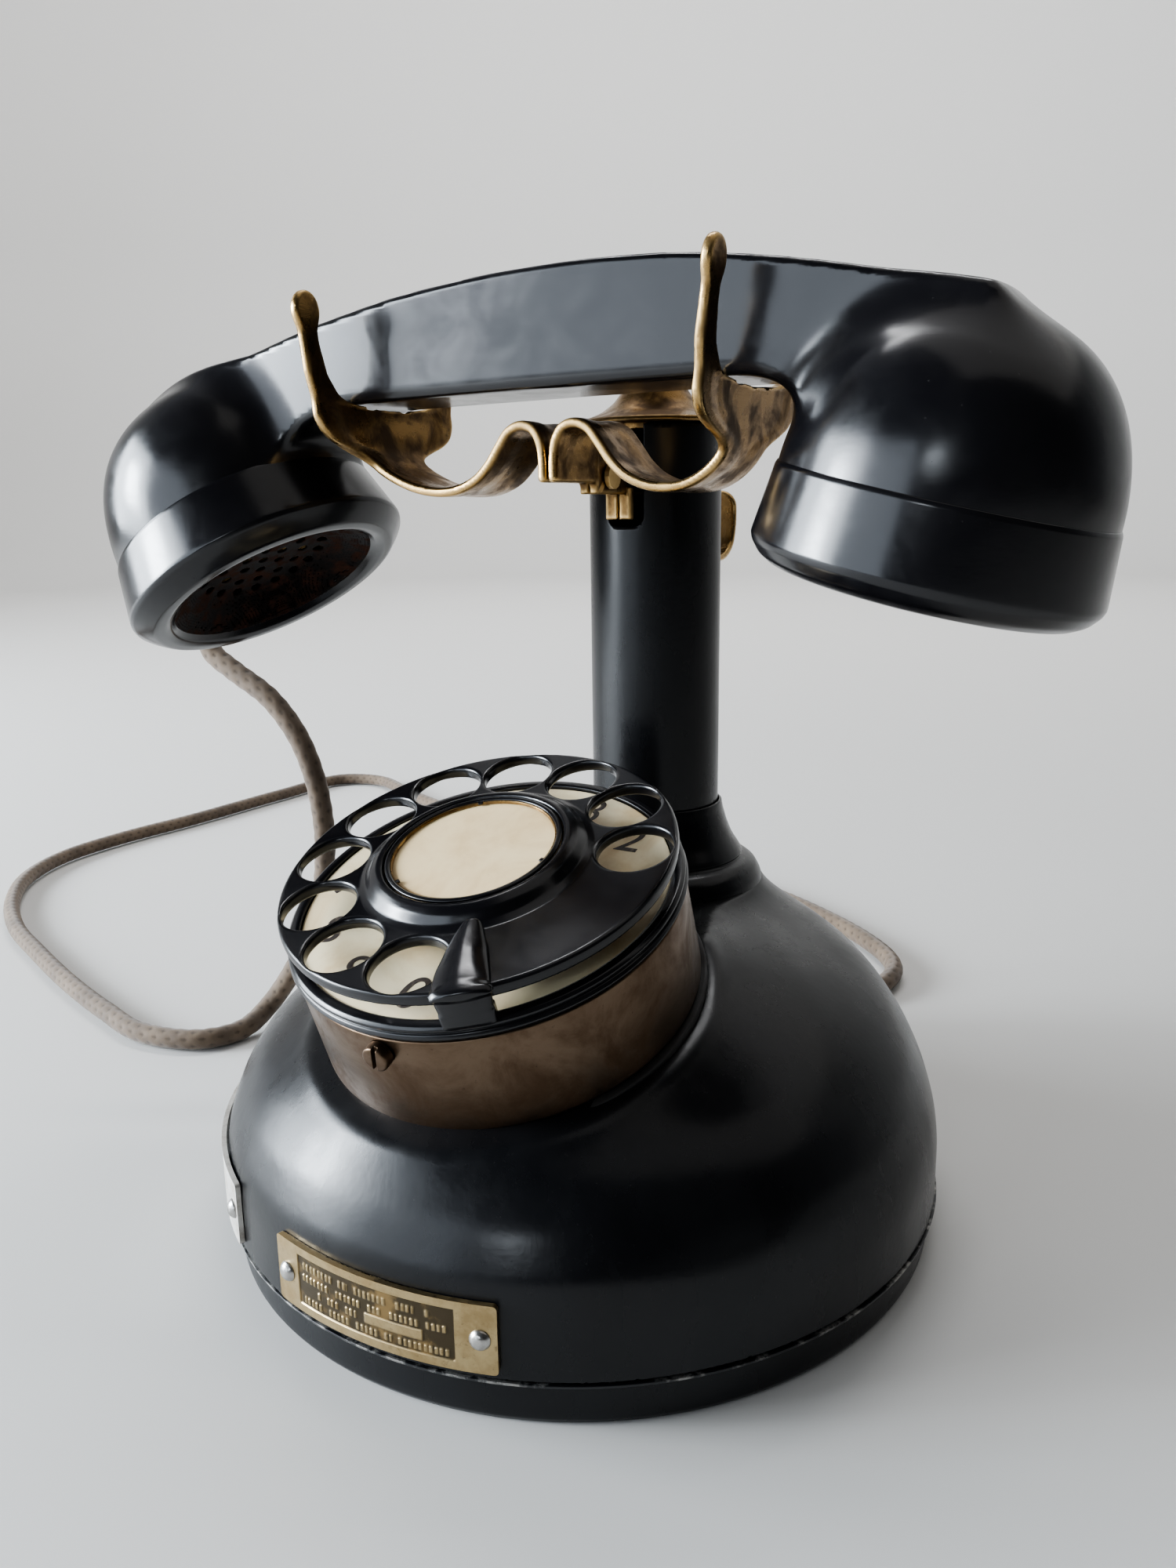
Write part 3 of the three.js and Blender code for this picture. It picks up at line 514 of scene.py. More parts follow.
def rubber():
    s = Shader("black_rubber", Roughness=0.7)
    bloom = s.noise(150, 6)
    s.color(s.mix(s.ramp(bloom, 0.35, 0.75), (0.009, 0.008, 0.008), (0.026, 0.023, 0.02)))
    s.roughness(s.ramp(bloom, 0.3, 0.7, 0.5, 0.78))
    s.bump(s.noise(1500, 4), 0.00006, 0.5)
    return s.material


def braid():
    """Cotton braid, grey-brown, its yarns lighter on their crowns, with painted shade darkening the
    furrows between them.
    """
    s = Shader("braided_cord", Roughness=0.9)
    s.bsdf.inputs["Sheen Weight"].default_value = 0.25
    height = s.attribute("yarn")
    tone = s.ramp(s.noise(90, 5, 0.6), 0.3, 0.72)
    crown = s.mix(tone, (0.092, 0.064, 0.042), (0.165, 0.118, 0.078))
    # painted shade: the colour darkens into the furrows between the yarns and lightens on their
    # crowns
    s.color(s.mix(s.ramp(height, 0.0, 0.7), (0.06, 0.042, 0.028), crown))
    s.roughness(s.ramp(height, 0.0, 1.0, 0.95, 0.78))
    s.bump(s.noise(5200, 3, 0.7), 0.00006, 0.6)
    return s.material


def plate_brass():
    """Brass plate whose sunk field is dark with old polish around raised bars."""
    s = Shader("plate_brass", Metallic=1.0, Roughness=0.4)
    patch = s.ramp(s.noise(160, 7, 0.62), 0.36, 0.68)
    metal = s.mix(patch, (0.5, 0.39, 0.22), (0.34, 0.25, 0.13))
    grime = s.ramp(s.noise(700, 5, 0.7), 0.56, 0.72)
    metal = s.mix(s.maths("MULTIPLY", grime, 0.5), metal, (0.075, 0.05, 0.03))
    paint = s.attribute("paint")
    field = s.mix(s.ramp(s.noise(210, 5), 0.48, 0.66), (0.055, 0.04, 0.02), (0.22, 0.145, 0.06))
    s.color(s.mix(paint, metal, field))
    s.metallic(s.ramp(paint, 0.0, 1.0, 1.0, 0.6))
    s.roughness(s.ramp(patch, 0.0, 1.0, 0.3, 0.5))
    s.bump(s.noise(2200, 3, 0.6, stretch=(0.15, 0.15, 1)), 0.00004, 0.5)
    return s.material


def ink():
    s = Shader("ink", Roughness=0.6)
    wear = s.noise(900, 4, 0.6)
    s.color(s.mix(s.ramp(wear, 0.5, 0.72), (0.045, 0.033, 0.028), (0.2, 0.16, 0.12)))
    s.roughness(s.ramp(wear, 0.3, 0.7, 0.45, 0.7))
    return s.material


LOOKS = {
    "black_enamel": enamel(),
    "black_ebonite": ebonite(),
    "aged_brass": brass(),
    "worn_nickel": nickel(),
    "plain_steel": steel(),
    "cream_enamel": cream("cream_enamel", (0.9, 0.78, 0.53), (0.7, 0.52, 0.28), 60),
    "brown_fibre": fibre(),
    "wound_copper": copper(),
    "black_rubber": rubber(),
    "braided_cord": braid(),
}
CARD = cream("cream_card", (0.88, 0.7, 0.42), (0.66, 0.45, 0.22), 45)
PLATE = plate_brass()
INK = ink()
GRILLE = dusty_grille()
WORN_EDGE = worn_edge()
DULL_PLATE = dull_plate()


def dress_cad_nodes():
    """Every CAD node takes the procedural finish of its slot."""
    for part in frame["record"]["subparts"]:
        node = NODES[part["node"]]
        node.data.materials.clear()
        node.data.materials.append(LOOKS[part["material_slot"]])


# ---- cord -----------------------------------------------------------------------------------
CORD_ROUTE = [
    (-123.6, 17, 139.3), (-128, 19.6, 136.4), (-133.6, 21.4, 130.4), (-136.4, 21.4, 122.4),
    (-134, 21, 115.4), (-126, 21, 110.4), (-113, 21.6, 103), (-104.6, 22.6, 93),
    (-100.6, 24, 81), (-100.4, 26, 68), (-103.4, 28.6, 54.8), (-107.6, 30, 41.4),
    (-114.4, 30.4, 28.2), (-121.4, 29.8, 16.8), (-127.4, 25.6, 6.8), (-127.6, 15, 3.3),
    (-133, 3.6, 3.3), (-152, -2, 3.3), (-175, 3, 3.3), (-205, 12, 3.3), (-238, 24, 3.3),
    (-270, 37, 3.3), (-299, 55, 3.3), (-323, 78, 3.3), (-337, 106, 3.3), (-340, 140, 3.3),
    (-337, 180, 3.3), (-336, 240, 3.3), (-332, 284, 3.3), (-310, 292, 3.3), (-270, 272, 3.3),
    (-210, 248, 3.3), (-120, 229, 3.3), (-43, 210, 3.3), (14, 173, 3.3), (29, 152, 3.3),
    (27, 131, 3.4), (12, 116, 4), (2, 103, 8.4), (0, 86, 14.6),
]


def arc_lengths(points):
    steps = np.linalg.norm(np.diff(points, axis=0), axis=1)
    return np.concatenate([[0], np.cumsum(steps)])


def lerp(t, ta, a, tb, b):
    """The value at t on the straight run from a at ta to b at tb."""
    return (tb - t) / (tb - ta) * a + (t - ta) / (tb - ta) * b


def smooth_route(points, spacing):
    """A centripetal Catmull-Rom curve through the points, sampled at an even spacing."""
    p = np.array(points, float)
    p = np.vstack([2 * p[0] - p[1], p, 2 * p[-1] - p[-2]])
    dense = []
    for a, b, c, d in zip(p, p[1:], p[2:], p[3:]):
        t0 = 0.0
        t1 = t0 + np.linalg.norm(b - a) ** 0.5
        t2 = t1 + np.linalg.norm(c - b) ** 0.5
        t3 = t2 + np.linalg.norm(d - c) ** 0.5
        for t in np.linspace(t1, t2, 60, endpoint=False):
            ab, bc, cd = lerp(t, t0, a, t1, b), lerp(t, t1, b, t2, c), lerp(t, t2, c, t3, d)
            abc, bcd = lerp(t, t0, ab, t2, bc), lerp(t, t1, bc, t3, cd)
            dense.append(lerp(t, t1, abc, t2, bcd))
    dense.append(p[-2])
    dense = np.array(dense)
    along = arc_lengths(dense)
    count = int(along[-1] / spacing) + 1
    even = np.linspace(0, along[-1], count)
    return np.stack([np.interp(even, along, dense[:, i]) for i in range(3)], 1), along[-1]


def build_cord():
    """A round cord along its route, its surface raised by two sets of crossing yarns."""
    path, length = smooth_route(CORD_ROUTE, 0.9)
    tangent = np.gradient(path, axis=0)
    tangent /= np.linalg.norm(tangent, axis=1)[:, None]
    side = np.zeros_like(path)
    guide = np.array([1.0, 0, 0])
    for i, t in enumerate(tangent):
        guide = guide - t * (guide @ t)
        guide /= np.linalg.norm(guide)
        side[i] = guide
    over = np.cross(tangent, side)
    sides, carriers, lay, furrow = 24, 8, 9.0, 0.28
    around = np.arange(sides) * 2 * math.pi / sides
    along = np.linspace(0, length, len(path))
    twist = 2 * math.pi * along[:, None] / (lay * 2)
    left = np.cos(carriers / 2 * (around[None] + twist))
    right = np.cos(carriers / 2 * (around[None] - twist))
    yarn = np.maximum(left, right)
    yarn = np.clip(0.5 + 0.5 * yarn, 0, 1) ** 0.7
    radius = CORD_RADIUS - furrow * (1 - yarn)
    ends = np.clip(np.minimum(along, length - along) / 1.2, 0, 1)[:, None]
    radius *= 0.55 + 0.45 * ends
    cos, sin = np.cos(around)[None, :, None], np.sin(around)[None, :, None]
    ring = cos * side[:, None] + sin * over[:, None]
    points = path[:, None] + radius[..., None] * ring
    points[..., 2] = np.maximum(points[..., 2], 0.15)
    n = len(path)
    index = np.arange(n * sides).reshape(n, sides)
    nxt = np.roll(index, -1, 1)
    quads = np.stack([index[:-1], nxt[:-1], nxt[1:], index[1:]], 2).reshape(-1, 4)
    faces = [*map(tuple, quads), tuple(index[0][::-1]), tuple(index[-1])]
    cord = new_object("cord_braid", points.reshape(-1, 3), faces)
    face_outwards(cord)
    set_values(cord, "yarn", yarn.ravel())
    cord.data.materials.append(LOOKS["braided_cord"])
    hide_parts("handset_cord")
    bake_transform(cord)


# ---- base -----------------------------------------------------------------------------------
BELL = [
    (9, 0, 79), (21, 0, 79), (28, 0.3, 77.6), (35, 1, 75.2), (41.5, 2.5, 71.6), (47.5, 6, 66),
    (52, 12, 58.6), (55.5, 19, 49.5), (58, 26, 40.5), (60.2, 32, 33), (62.3, 35.5, 28.6),
    (64, 36.5, 26.6), (70, 36.5, 24),
]
SEAT_TOP = CAN_FLOOR - 2.4


def dial_coordinates(x, y, z):
    """World millimetres to the dial's own frame."""
    c, s = math.cos(DIAL_TILT), math.sin(DIAL_TILT)
    dy, dz = y - DIAL_Y, z - DIAL_Z
    return x, dy * c + dz * s, dz * c - dy * s


def build_base_shell():
    centre = table([(z, y) for z, y, _ in BELL], 1.6, 0, 72)
    radius = table([(z, r) for z, _, r in BELL], 1.6, 0, 72)
    flare = table(
        [(-64, 63), (-54, 61), (-46, 56), (-40, 48.5), (-36.5, 43.2), (-34, 40.8), (-28, 40.4)],
        1.2,
        -68,
        -24,
    )

    def field(x, y, z):
        r = look_up(radius, z)
        slope = (look_up(radius, z + 0.3) - look_up(radius, z - 0.3)) / 0.6
        bell = (np.hypot(x, y - look_up(centre, z)) - r) / np.sqrt(1 + slope**2)
        u, v, w = dial_coordinates(x, y, z)
        around = np.hypot(u, v)
        seat = smooth_max((around - look_up(flare, w)) * 0.75, w - SEAT_TOP, 1.6)
        body = smooth_min(bell, seat, 9.0)
        body = smooth_max(body, np.hypot(x, y) - BASE_RADIUS, 1.2)
        body = smooth_max(body, np.minimum(CAN_RADIUS - 1.5 - around, w - SEAT_TOP), 0.8)
        neck = np.hypot(x, y - COLUMN_Y)
        body = np.maximum(body, np.minimum(COLUMN_RADIUS + 0.3 - neck, z - 50))
        body = smooth_max(body, z - 65.2, 0.6)
        return smooth_max(body, SEAM + 0.35 - z, 0.5)

    shell = implicit("shell", field, (-82, -82, 7), (82, 82, 71), 1.2)
    finish_piece(shell, "base", "black_enamel", "base_shell")


def build_foot():
    foot = turned(
        "foot",
        [
            (FOOT_INNER, 0), (FOOT_RADIUS - 0.9, 0), (FOOT_RADIUS - 0.1, 1.2),
            (FOOT_RADIUS, 2.5), (FOOT_RADIUS, SEAM - 0.4), (FOOT_INNER, SEAM - 0.4),
        ],
        segments=192,
        closed=True,
    )
    finish_piece(foot, "base", "black_enamel", "foot_ring")
    seam = turned(
        "seam_edge",
        [(77.8, SEAM - 0.35), (79.05, SEAM - 0.3), (79.15, SEAM + 0.25), (77.8, SEAM + 0.3)],
        segments=192,
        radius=0.1,
        closed=True,
    )
    finish_piece(seam, "base", "black_enamel", look=WORN_EDGE)


def curved_plate(name, start, stop, relief, look, slot, node):
    """A plate bent round the wall; relief(u, v) gives height and paint on a grid in millimetres."""
    middle, back_radius, face_radius = BASE_RADIUS + 0.7, BASE_RADIUS + 0.1, BASE_RADIUS + 0.3 + 0.8
    length, height, cell = math.radians(stop - start) * middle, PLATE_HIGH - PLATE_LOW, 0.22
    columns, rows = int(length / cell), int(height / cell)
    u, v = np.meshgrid(
        np.linspace(0, length, columns), np.linspace(0, height, rows), indexing="ij"
    )
    lift, paint = relief(u, v, length, height)
    corner = 0.8
    du = np.maximum(np.maximum(corner - u, u - (length - corner)), 0)
    dv = np.maximum(np.maximum(corner - v, v - (height - corner)), 0)
    pull = np.maximum(np.hypot(du, dv) - corner, 0)
    nu = np.where(u < length / 2, 1, -1) * np.where(du > 0, 1, 0)
    nv = np.where(v < height / 2, 1, -1) * np.where(dv > 0, 1, 0)
    u2, v2 = u + nu * pull * 0.7, v + nv * pull * 0.7
    angle = math.radians(start) + u2 / middle
    radius = face_radius + lift
    front = np.stack([radius * np.sin(angle), -radius * np.cos(angle), PLATE_LOW + v2], 2)
    back = np.stack(
        [back_radius * np.sin(angle), -back_radius * np.cos(angle), PLATE_LOW + v2], 2
    )
    index = np.arange(columns * rows).reshape(columns, rows)
    quads = np.stack([index[:-1, :-1], index[1:, :-1], index[1:, 1:], index[:-1, 1:]], 2)
    faces = [tuple(q) for q in quads.reshape(-1, 4)]
    border = [*index[:, 0], *index[-1, 1:], *index[-2::-1, -1], *index[0, -2:0:-1]]
    total = columns * rows
    rim = {k: total + i for i, k in enumerate(border)}
    for a, b in zip(border, border[1:] + border[:1]):
        faces.append((b, a, rim[a], rim[b]))
    points = np.concatenate([front.reshape(-1, 3), back.reshape(-1, 3)[border]])
    faces.append(tuple(rim[k] for k in border[::-1]))
    plate = new_object(name, points, faces, smooth_angle=35)
    set_values(plate, "paint", np.concatenate([paint.ravel(), np.zeros(len(border))]))
    finish_piece(plate, "base", slot, node, look=look)


def within(value, low, high, soft=0.12):
    """1 between low and high, falling to 0 over `soft`."""
    return np.clip((value - low) / soft, 0, 1) * np.clip((high - value) / soft, 0, 1)


def maker_plate_relief(u, v, length, height):
    """A sunk field with plain raised bars in place of lettering."""
    edge_u, edge_v = 6.2, 1.6
    sunk = within(u, edge_u, length - 7.6) * within(v, edge_v, height - edge_v)
    bars = np.zeros_like(u)
    rows = [
        (9.7, [(7.4, 15.2), (16.6, 18.9), (20.3, 27.6), (29.2, 32.8), (34.8, 36.0)]),
        (7.4, [(7.2, 14.4), (15.8, 21.8), (23.2, 26.2), (27.8, 33.8), (35.0, 39.0)]),
        (5.1, [(11.2, 12.4), (13.6, 16.8), (18.0, 20.8)]),
        (2.9, [(7.4, 12.6), (14.0, 19.2), (20.4, 25.4), (26.6, 28.2), (29.4, 39.2)]),
    ]
    for centre, runs in rows:
        high = within(v, centre - 0.72, centre + 0.72, 0.1)
        for left, right in runs:
            tick = within(np.mod(u - left, 1.0), 0.12, 0.84, 0.1)
            bars = np.maximum(bars, high * within(u, left, right, 0.1) * tick)
    bars = np.maximum(bars, within(u, 22.5, 34.5) * within(v, 4.2, 6.2))
    lift = -0.22 * sunk * (1 - bars)
    return lift, sunk * (1 - bars)


def blank_relief(u, v, length, height):
    """A flat face with one fine line sunk round its edge."""
    frame_line = within(u, 0.9, length - 0.9) * within(v, 0.9, height - 0.9)
    inner = within(u, 1.5, length - 1.5) * within(v, 1.5, height - 1.5)
    return -0.08 * frame_line * (1 - inner), np.zeros_like(u)


RIVET = [(0, 1.25), (0.8, 1.16), (1.4, 0.86), (1.85, 0.35), (2, 0), (1.2, -0.6), (0, -0.6)]


def build_plates():
    brass_plate, pale_plate, inset = (-14.2, 20.3), (-62.5, -28.3), 2.2
    curved_plate("maker_plate", *brass_plate, maker_plate_relief, PLATE, "aged_brass", "nameplate")
    curved_plate("blank_plate", *pale_plate, blank_relief, DULL_PLATE, "worn_nickel", "side_plate")
    for node, (start, stop) in (("nameplate", brass_plate), ("side_plate", pale_plate)):
        for i, bearing in enumerate((start + inset, stop - inset)):
            out = shift(0, -(BASE_RADIUS + 1.1), (PLATE_LOW + PLATE_HIGH) / 2)
            place = turn(math.radians(bearing), "Z") @ out @ turn(math.pi / 2, "X")
            rivet = turned(f"{node}_dome_{i + 1}", RIVET, place, segments=40)
            stands_for = f"{node}_rivet_{i + 1}"
            finish_piece(rivet, "base", "worn_nickel", stands_for, look=LOOKS["plain_steel"])


# ---- column ---------------------------------------------------------------------------------
def build_column():
    def field(x, y, z):
        r = np.hypot(x, y)
        wall = np.abs(r - (COLUMN_RADIUS + COLUMN_BORE) / 2) - (COLUMN_RADIUS - COLUMN_BORE) / 2
        tube = smooth_max(smooth_max(wall, z - COLUMN_TOP, 0.4), COLUMN_FOOT - z, 0.4)
        corner = 2.2
        dx = np.abs(x) - (SLOT_HALF - corner)
        dz = (SLOT_FLOOR + corner) - z
        slot = np.hypot(np.maximum(dx, 0), np.maximum(dz, 0)) + np.minimum(np.maximum(dx, dz), 0)
        slot = np.maximum(slot - corner, y)
        return smooth_max(tube, -slot, 0.35)

    tube = implicit("column_barrel", field, (-16, -16, 49), (16, 16, 172.4), 0.8, COLUMN_FRAME)
    finish_piece(tube, "base", "black_enamel", "column_tube")
    collar = turned(
        "collar",
        [
            (COLUMN_RADIUS + 0.3, 63), (26.2, 63), (26.2, 64.8), (25.8, 66.5), (24.6, 68.8),
            (22.9, 70.1), (21.3, 70.6), (20.9, 71.0), (21.2, 71.5), (20.6, 72.6), (18.8, 75.4),
            (17.5, 78.6), (16.5, 82), (16.1, 84.2), (COLUMN_RADIUS + 0.3, 84.4),
        ],
        COLUMN_FRAME,
        radius=1.1,
        closed=True,
    )
    finish_piece(collar, "base", "black_enamel", "neck_collar")
    top = COLUMN_TOP
    cap = turned(
        "finial",
        [
            (0, top - 1), (COLUMN_BORE - 0.4, top - 1), (COLUMN_BORE - 0.4, top + 0.4),
            (16.6, top + 0.3), (17.1, top + 0.7), (16.9, top + 1.4), (15.2, top + 2.0),
            (12.4, top + 3.1), (9.6, top + 5.1), (7.5, top + 7.8), (6.3, top + 10.6),
            (5.8, top + 12.2), (6.6, top + 12.9), (7.4, top + 14.6), (7.3, top + 16.2),
            (5.9, top + 18.2), (3.4, top + 19.6), (0, top + 20),
        ],
        COLUMN_FRAME,
        radius=1.4,
    )
    finish_piece(cap, "base", "aged_brass", "column_cap")


def build_rear_hook():
    """A bent brass strip on the column's back, its free end rounded, with its slotted screw."""
    back = COLUMN_RADIUS + SHEET / 2 + 0.3
    bends = [(0, 166), (0, 150), (5, 143), (12, 141), (18, 144), (20, 151), (19, 158)]
    dense, _ = smooth_route([(back + y, 0, z) for y, z in bends], 0.5)
    line = dense[:, [0, 2]]
    along = arc_lengths(line)

    def field(x, y, z):
        across, s = nearest_on(line, along, y, z)
        ends = np.maximum(np.maximum(4.5 - s, s - along[-1] + 4.5), 0)
        flat = np.hypot(ends, np.maximum(np.abs(x) - 0.5, 0)) - 4
        return smooth_max(across - SHEET / 2 + 0.1, flat, 0.8)

    low, high = (-5.4, back - 2, 139), (5.4, back + 22, 167.5)
    hook = implicit("hook_strip", field, low, high, 0.5, COLUMN_FRAME)
    finish_piece(hook, "base", "aged_brass", "rear_hook")
    place = COLUMN_FRAME @ shift(0, back + SHEET / 2, 157) @ turn(-math.pi / 2, "X")
    screw = slotted_head("hook_screw_head", 2.8, 1.6, place, 0.8, 0.8)
    finish_piece(screw, "base", "plain_steel", "rear_hook_screw")


# ---- cradle ---------------------------------------------------------------------------------
STRIP = [
    (1.2, 158.6), (1.25, 163), (1.9, 166.6), (3.6, 169), (6.4, 169.7), (9.2, 168.6),
    (11.6, 165.8), (14.2, 162.4), (17.4, 159.6), (21.6, 157.8), (26.2, 157.2),
]
# Up the outer arm: x, z and the share of the bend that the arm has there.
ARM = [
    (30.8, 157.9, 0.2), (34.8, 160.1, 0.5), (37.5, 163, 0.8), (38.5, 166, 1), (38.8, 170, 1),
    (39.4, 175, 1), (40.3, 181, 1), (41.2, 186, 1), (42.2, 192, 1), (42.8, 197, 1),
]
FORK_START, FORK_END = 175, 197


def cradle_line(bend, tip):
    """The strip's middle line for a fork bent out by `bend`, and by `tip` at its ends."""
    points = list(STRIP)
    for x, z, share in ARM:
        up = max(0, (z - FORK_START) / (FORK_END - FORK_START))
        points.append((x + bend * share + (tip - bend) * up, z))
    dense, _ = smooth_route([(x, 0, z) for x, z in points], 0.4)
    line = dense[:, [0, 2]]
    return line, arc_lengths(line)


def nearest_on(line, along, x, z):
    """Signed distance across the line and arc length along it, for a grid in the XZ plane."""
    best = np.full(np.broadcast(x, z).shape, 1e9)
    where = np.zeros_like(best)
    for (ax, az), (bx, bz), s in zip(line, line[1:], along):
        dx, dz = bx - ax, bz - az
        size = math.hypot(dx, dz)
        t = ((x - ax) * dx + (z - az) * dz) / size**2
        held = np.clip(t, 0, 1)
        gap = np.hypot(x - ax - held * dx, z - az - held * dz)
        reach = held
        if s == 0:
            reach = np.minimum(t, 1)
        elif s >= along[-2]:
            reach = np.maximum(t, 0)
        where = np.where(gap < best, s + reach * size, where)
        best = np.minimum(best, gap)
    return best, where


def build_cradle_half(name, node, bend, tip, mirrored):
    line, along = cradle_line(bend, tip)
    end = along[-1]

    def at_height(z):
        """Arc length where the outer arm passes the height z."""
        outer = line[:, 0] > 30
        return float(np.interp(z, line[outer, 1], along[outer]))

    def up_the_arm(first, heights, last, spread):
        """A curve over arc length from its two ends and its values at heights on the arm."""
        between = [(at_height(z), value) for z, value in heights]
        return table([(-5, first), *between, (end, last)], spread, -6, end + 4)

    widths = [
        (163.4, 8.7), (165, 10.4), (166.4, 14.6), (168, 19), (170, 21.6), (172.5, 22.9),
        (176, 22.8), (181, 24.4), (191, 25.2),
    ]
    gaps = [(174.6, -12), (175.2, 11), (177, 15.4), (181, 18.6), (187, 20.2), (193, 20.6)]
    half_width = up_the_arm(8.7, widths, 25.4, 0.7)
    notch = up_the_arm(-12, gaps, 20.2, 0.5)

    def outline(s, y):
        """Signed distance, roughly, to the flat shape of the sheet before it is bent."""
        side = np.abs(y - CRADLE_MID)
        edge = (side - look_up(half_width, s)) * 0.85
        gap = (look_up(notch, s) - side) * 0.8
        body = smooth_max(smooth_max(edge, gap, 0.8), -s, 0.8)
        centre = end - 3.9
        pad = np.hypot((s - centre) * 0.92, side - 22.9) - 3.5
        return smooth_min(smooth_max(body, s - centre, 0.6), pad, 1.4)

    def field(x, y, z):
        xs = -np.asarray(x, float) if mirrored else np.asarray(x, float)
        across, s = nearest_on(line, along, xs, np.asarray(z, float))
        flat = outline(s, y)
        dished = SHEET / 2 * np.clip(1.35 + 0.1 * flat, 0.72, 1)
        sheet = smooth_max(across - dished, flat, 0.9)
        web = np.maximum(np.abs(z - 161.2) - 4.8, np.abs(y - 23.5) - 17.5)
        web = smooth_max(np.abs(xs - 1.15) - 1.0, web, 0.5)
        tail = np.maximum(np.abs(y - 19.5) - 0.9, np.abs(z - 154.4) - 3.4)
        tail = smooth_max(np.abs(xs - 1.65) - 1.5, tail, 0.4)
        return np.minimum(smooth_min(sheet, web, 1.0), tail)

    reach = max(line[:, 0]) + 1.8
    low, high = (-0.6, -30.5, 149), (reach, 43, 199.6)
    if mirrored:
        low, high = (-reach, *low[1:]), (0.6, *high[1:])
    half = implicit(name, field, low, high, 0.55)
    finish_piece(half, "cradle", "aged_brass", node)


def build_cradle():
    build_cradle_half("cradle_fork_right", "cradle_right", 0, 0, False)
    build_cradle_half("cradle_fork_left", "cradle_left", 7.4, 4.6, True)


# ---- dial -----------------------------------------------------------------------------------
def on_dial(angle, radius):
    """X and Y on the dial's face, `angle` degrees clockwise from its top."""
    return radius * math.sin(math.radians(angle)), radius * math.cos(math.radians(angle))


def build_finger_wheel():
    boss = [(0, 1.2), (17.3, 1.2), (17.6, 2.9), (18.8, 2.9), (20.2, 2.1), (21.6, 0.6), (23, 0)]
    top = table([*boss, (45, 0)], 0.22, 0, 44, 0.02)
    step = math.radians(HOLE_STEP)
    first = math.radians(FIRST_HOLE)

    def field(x, y, z):
        r = np.hypot(x, y)
        body = smooth_max((z - look_up(top, r)) * 0.8, -WHEEL_THICK - z, 0.5)
        body = smooth_max(body, r - WHEEL_RADIUS, 0.9)
        bearing = np.arctan2(x, y)
        turns = np.mod(first - bearing + step / 2, 2 * math.pi)
        number = np.clip(np.floor(turns / step), 0, HOLE_COUNT - 1)
        centre = first - number * step
        hole = HOLE_RADIUS - np.hypot(
            x - WHEEL_PITCH * np.sin(centre), y - WHEEL_PITCH * np.cos(centre)
        )
        return smooth_max(body, hole, 0.9)

    wheel = implicit("wheel_disc", field, (-40, -40, -3.4), (40, 40, 3.8), 0.42, DIAL_FRAME)
    finish_piece(wheel, "dial_wheel", "black_ebonite", "finger_wheel")
    crowned = [(0, 2.0), (15, 1.95), (17.1, 1.85), (17.1, 1.5), (0, 1.5)]
    card = turned("card_disc", crowned, DIAL_FRAME, 0.1, 96)
    finish_piece(card, "dial_wheel", "cream_enamel", "centre_card", look=CARD)
    build_card_ring()


def build_card_ring():
    """A thin ring that holds the card, with a brass lining and small tabs reaching inwards."""
    inner = [(15.75, 2.05), (16.2, 2.05), (16.2, 2.6), (15.95, 2.6)]
    lining = turned("card_lining", inner, DIAL_FRAME, 0.1, 96, closed=True)
    finish_piece(lining, "dial_wheel", "aged_brass")
    outer = [(16.2, 2.15), (17.2, 2.15), (17.3, 2.75), (16.7, 3.0), (16.2, 2.75)]
    ring = turned("card_retainer", outer, DIAL_FRAME, 0.2, 96, closed=True)
    finish_piece(ring, "dial_wheel", "black_ebonite", "card_ring")
    for i, bearing in enumerate((-28, 92, 212)):
        x, y = on_dial(bearing, 15.9)
        place = DIAL_FRAME @ shift(x, y, 2.5) @ turn(-math.radians(bearing), "Z")
        tab = rounded_box(f"card_tab_{i + 1}", (1.0, 1.0, 0.4), 0.15, place)
        finish_piece(tab, "dial_wheel", "black_ebonite")


def rounded_box(name, size, radius, place):
    work = bmesh.new()
    bmesh.ops.create_cube(work, size=1)
    bmesh.ops.scale(work, vec=size, verts=work.verts)
    bmesh.ops.bevel(
        work, geom=work.edges[:], offset=radius, segments=3, profile=0.5, affect="EDGES"
    )
    mesh = bpy.data.meshes.new(name)
    work.to_mesh(mesh)
    work.free()
    mesh.transform(Matrix.Scale(MM, 4) @ place)
    mesh.polygons.foreach_set("use_smooth", [True] * len(mesh.polygons))
    mesh.set_sharp_from_angle(angle=math.radians(40))
    return add_object(name, mesh)


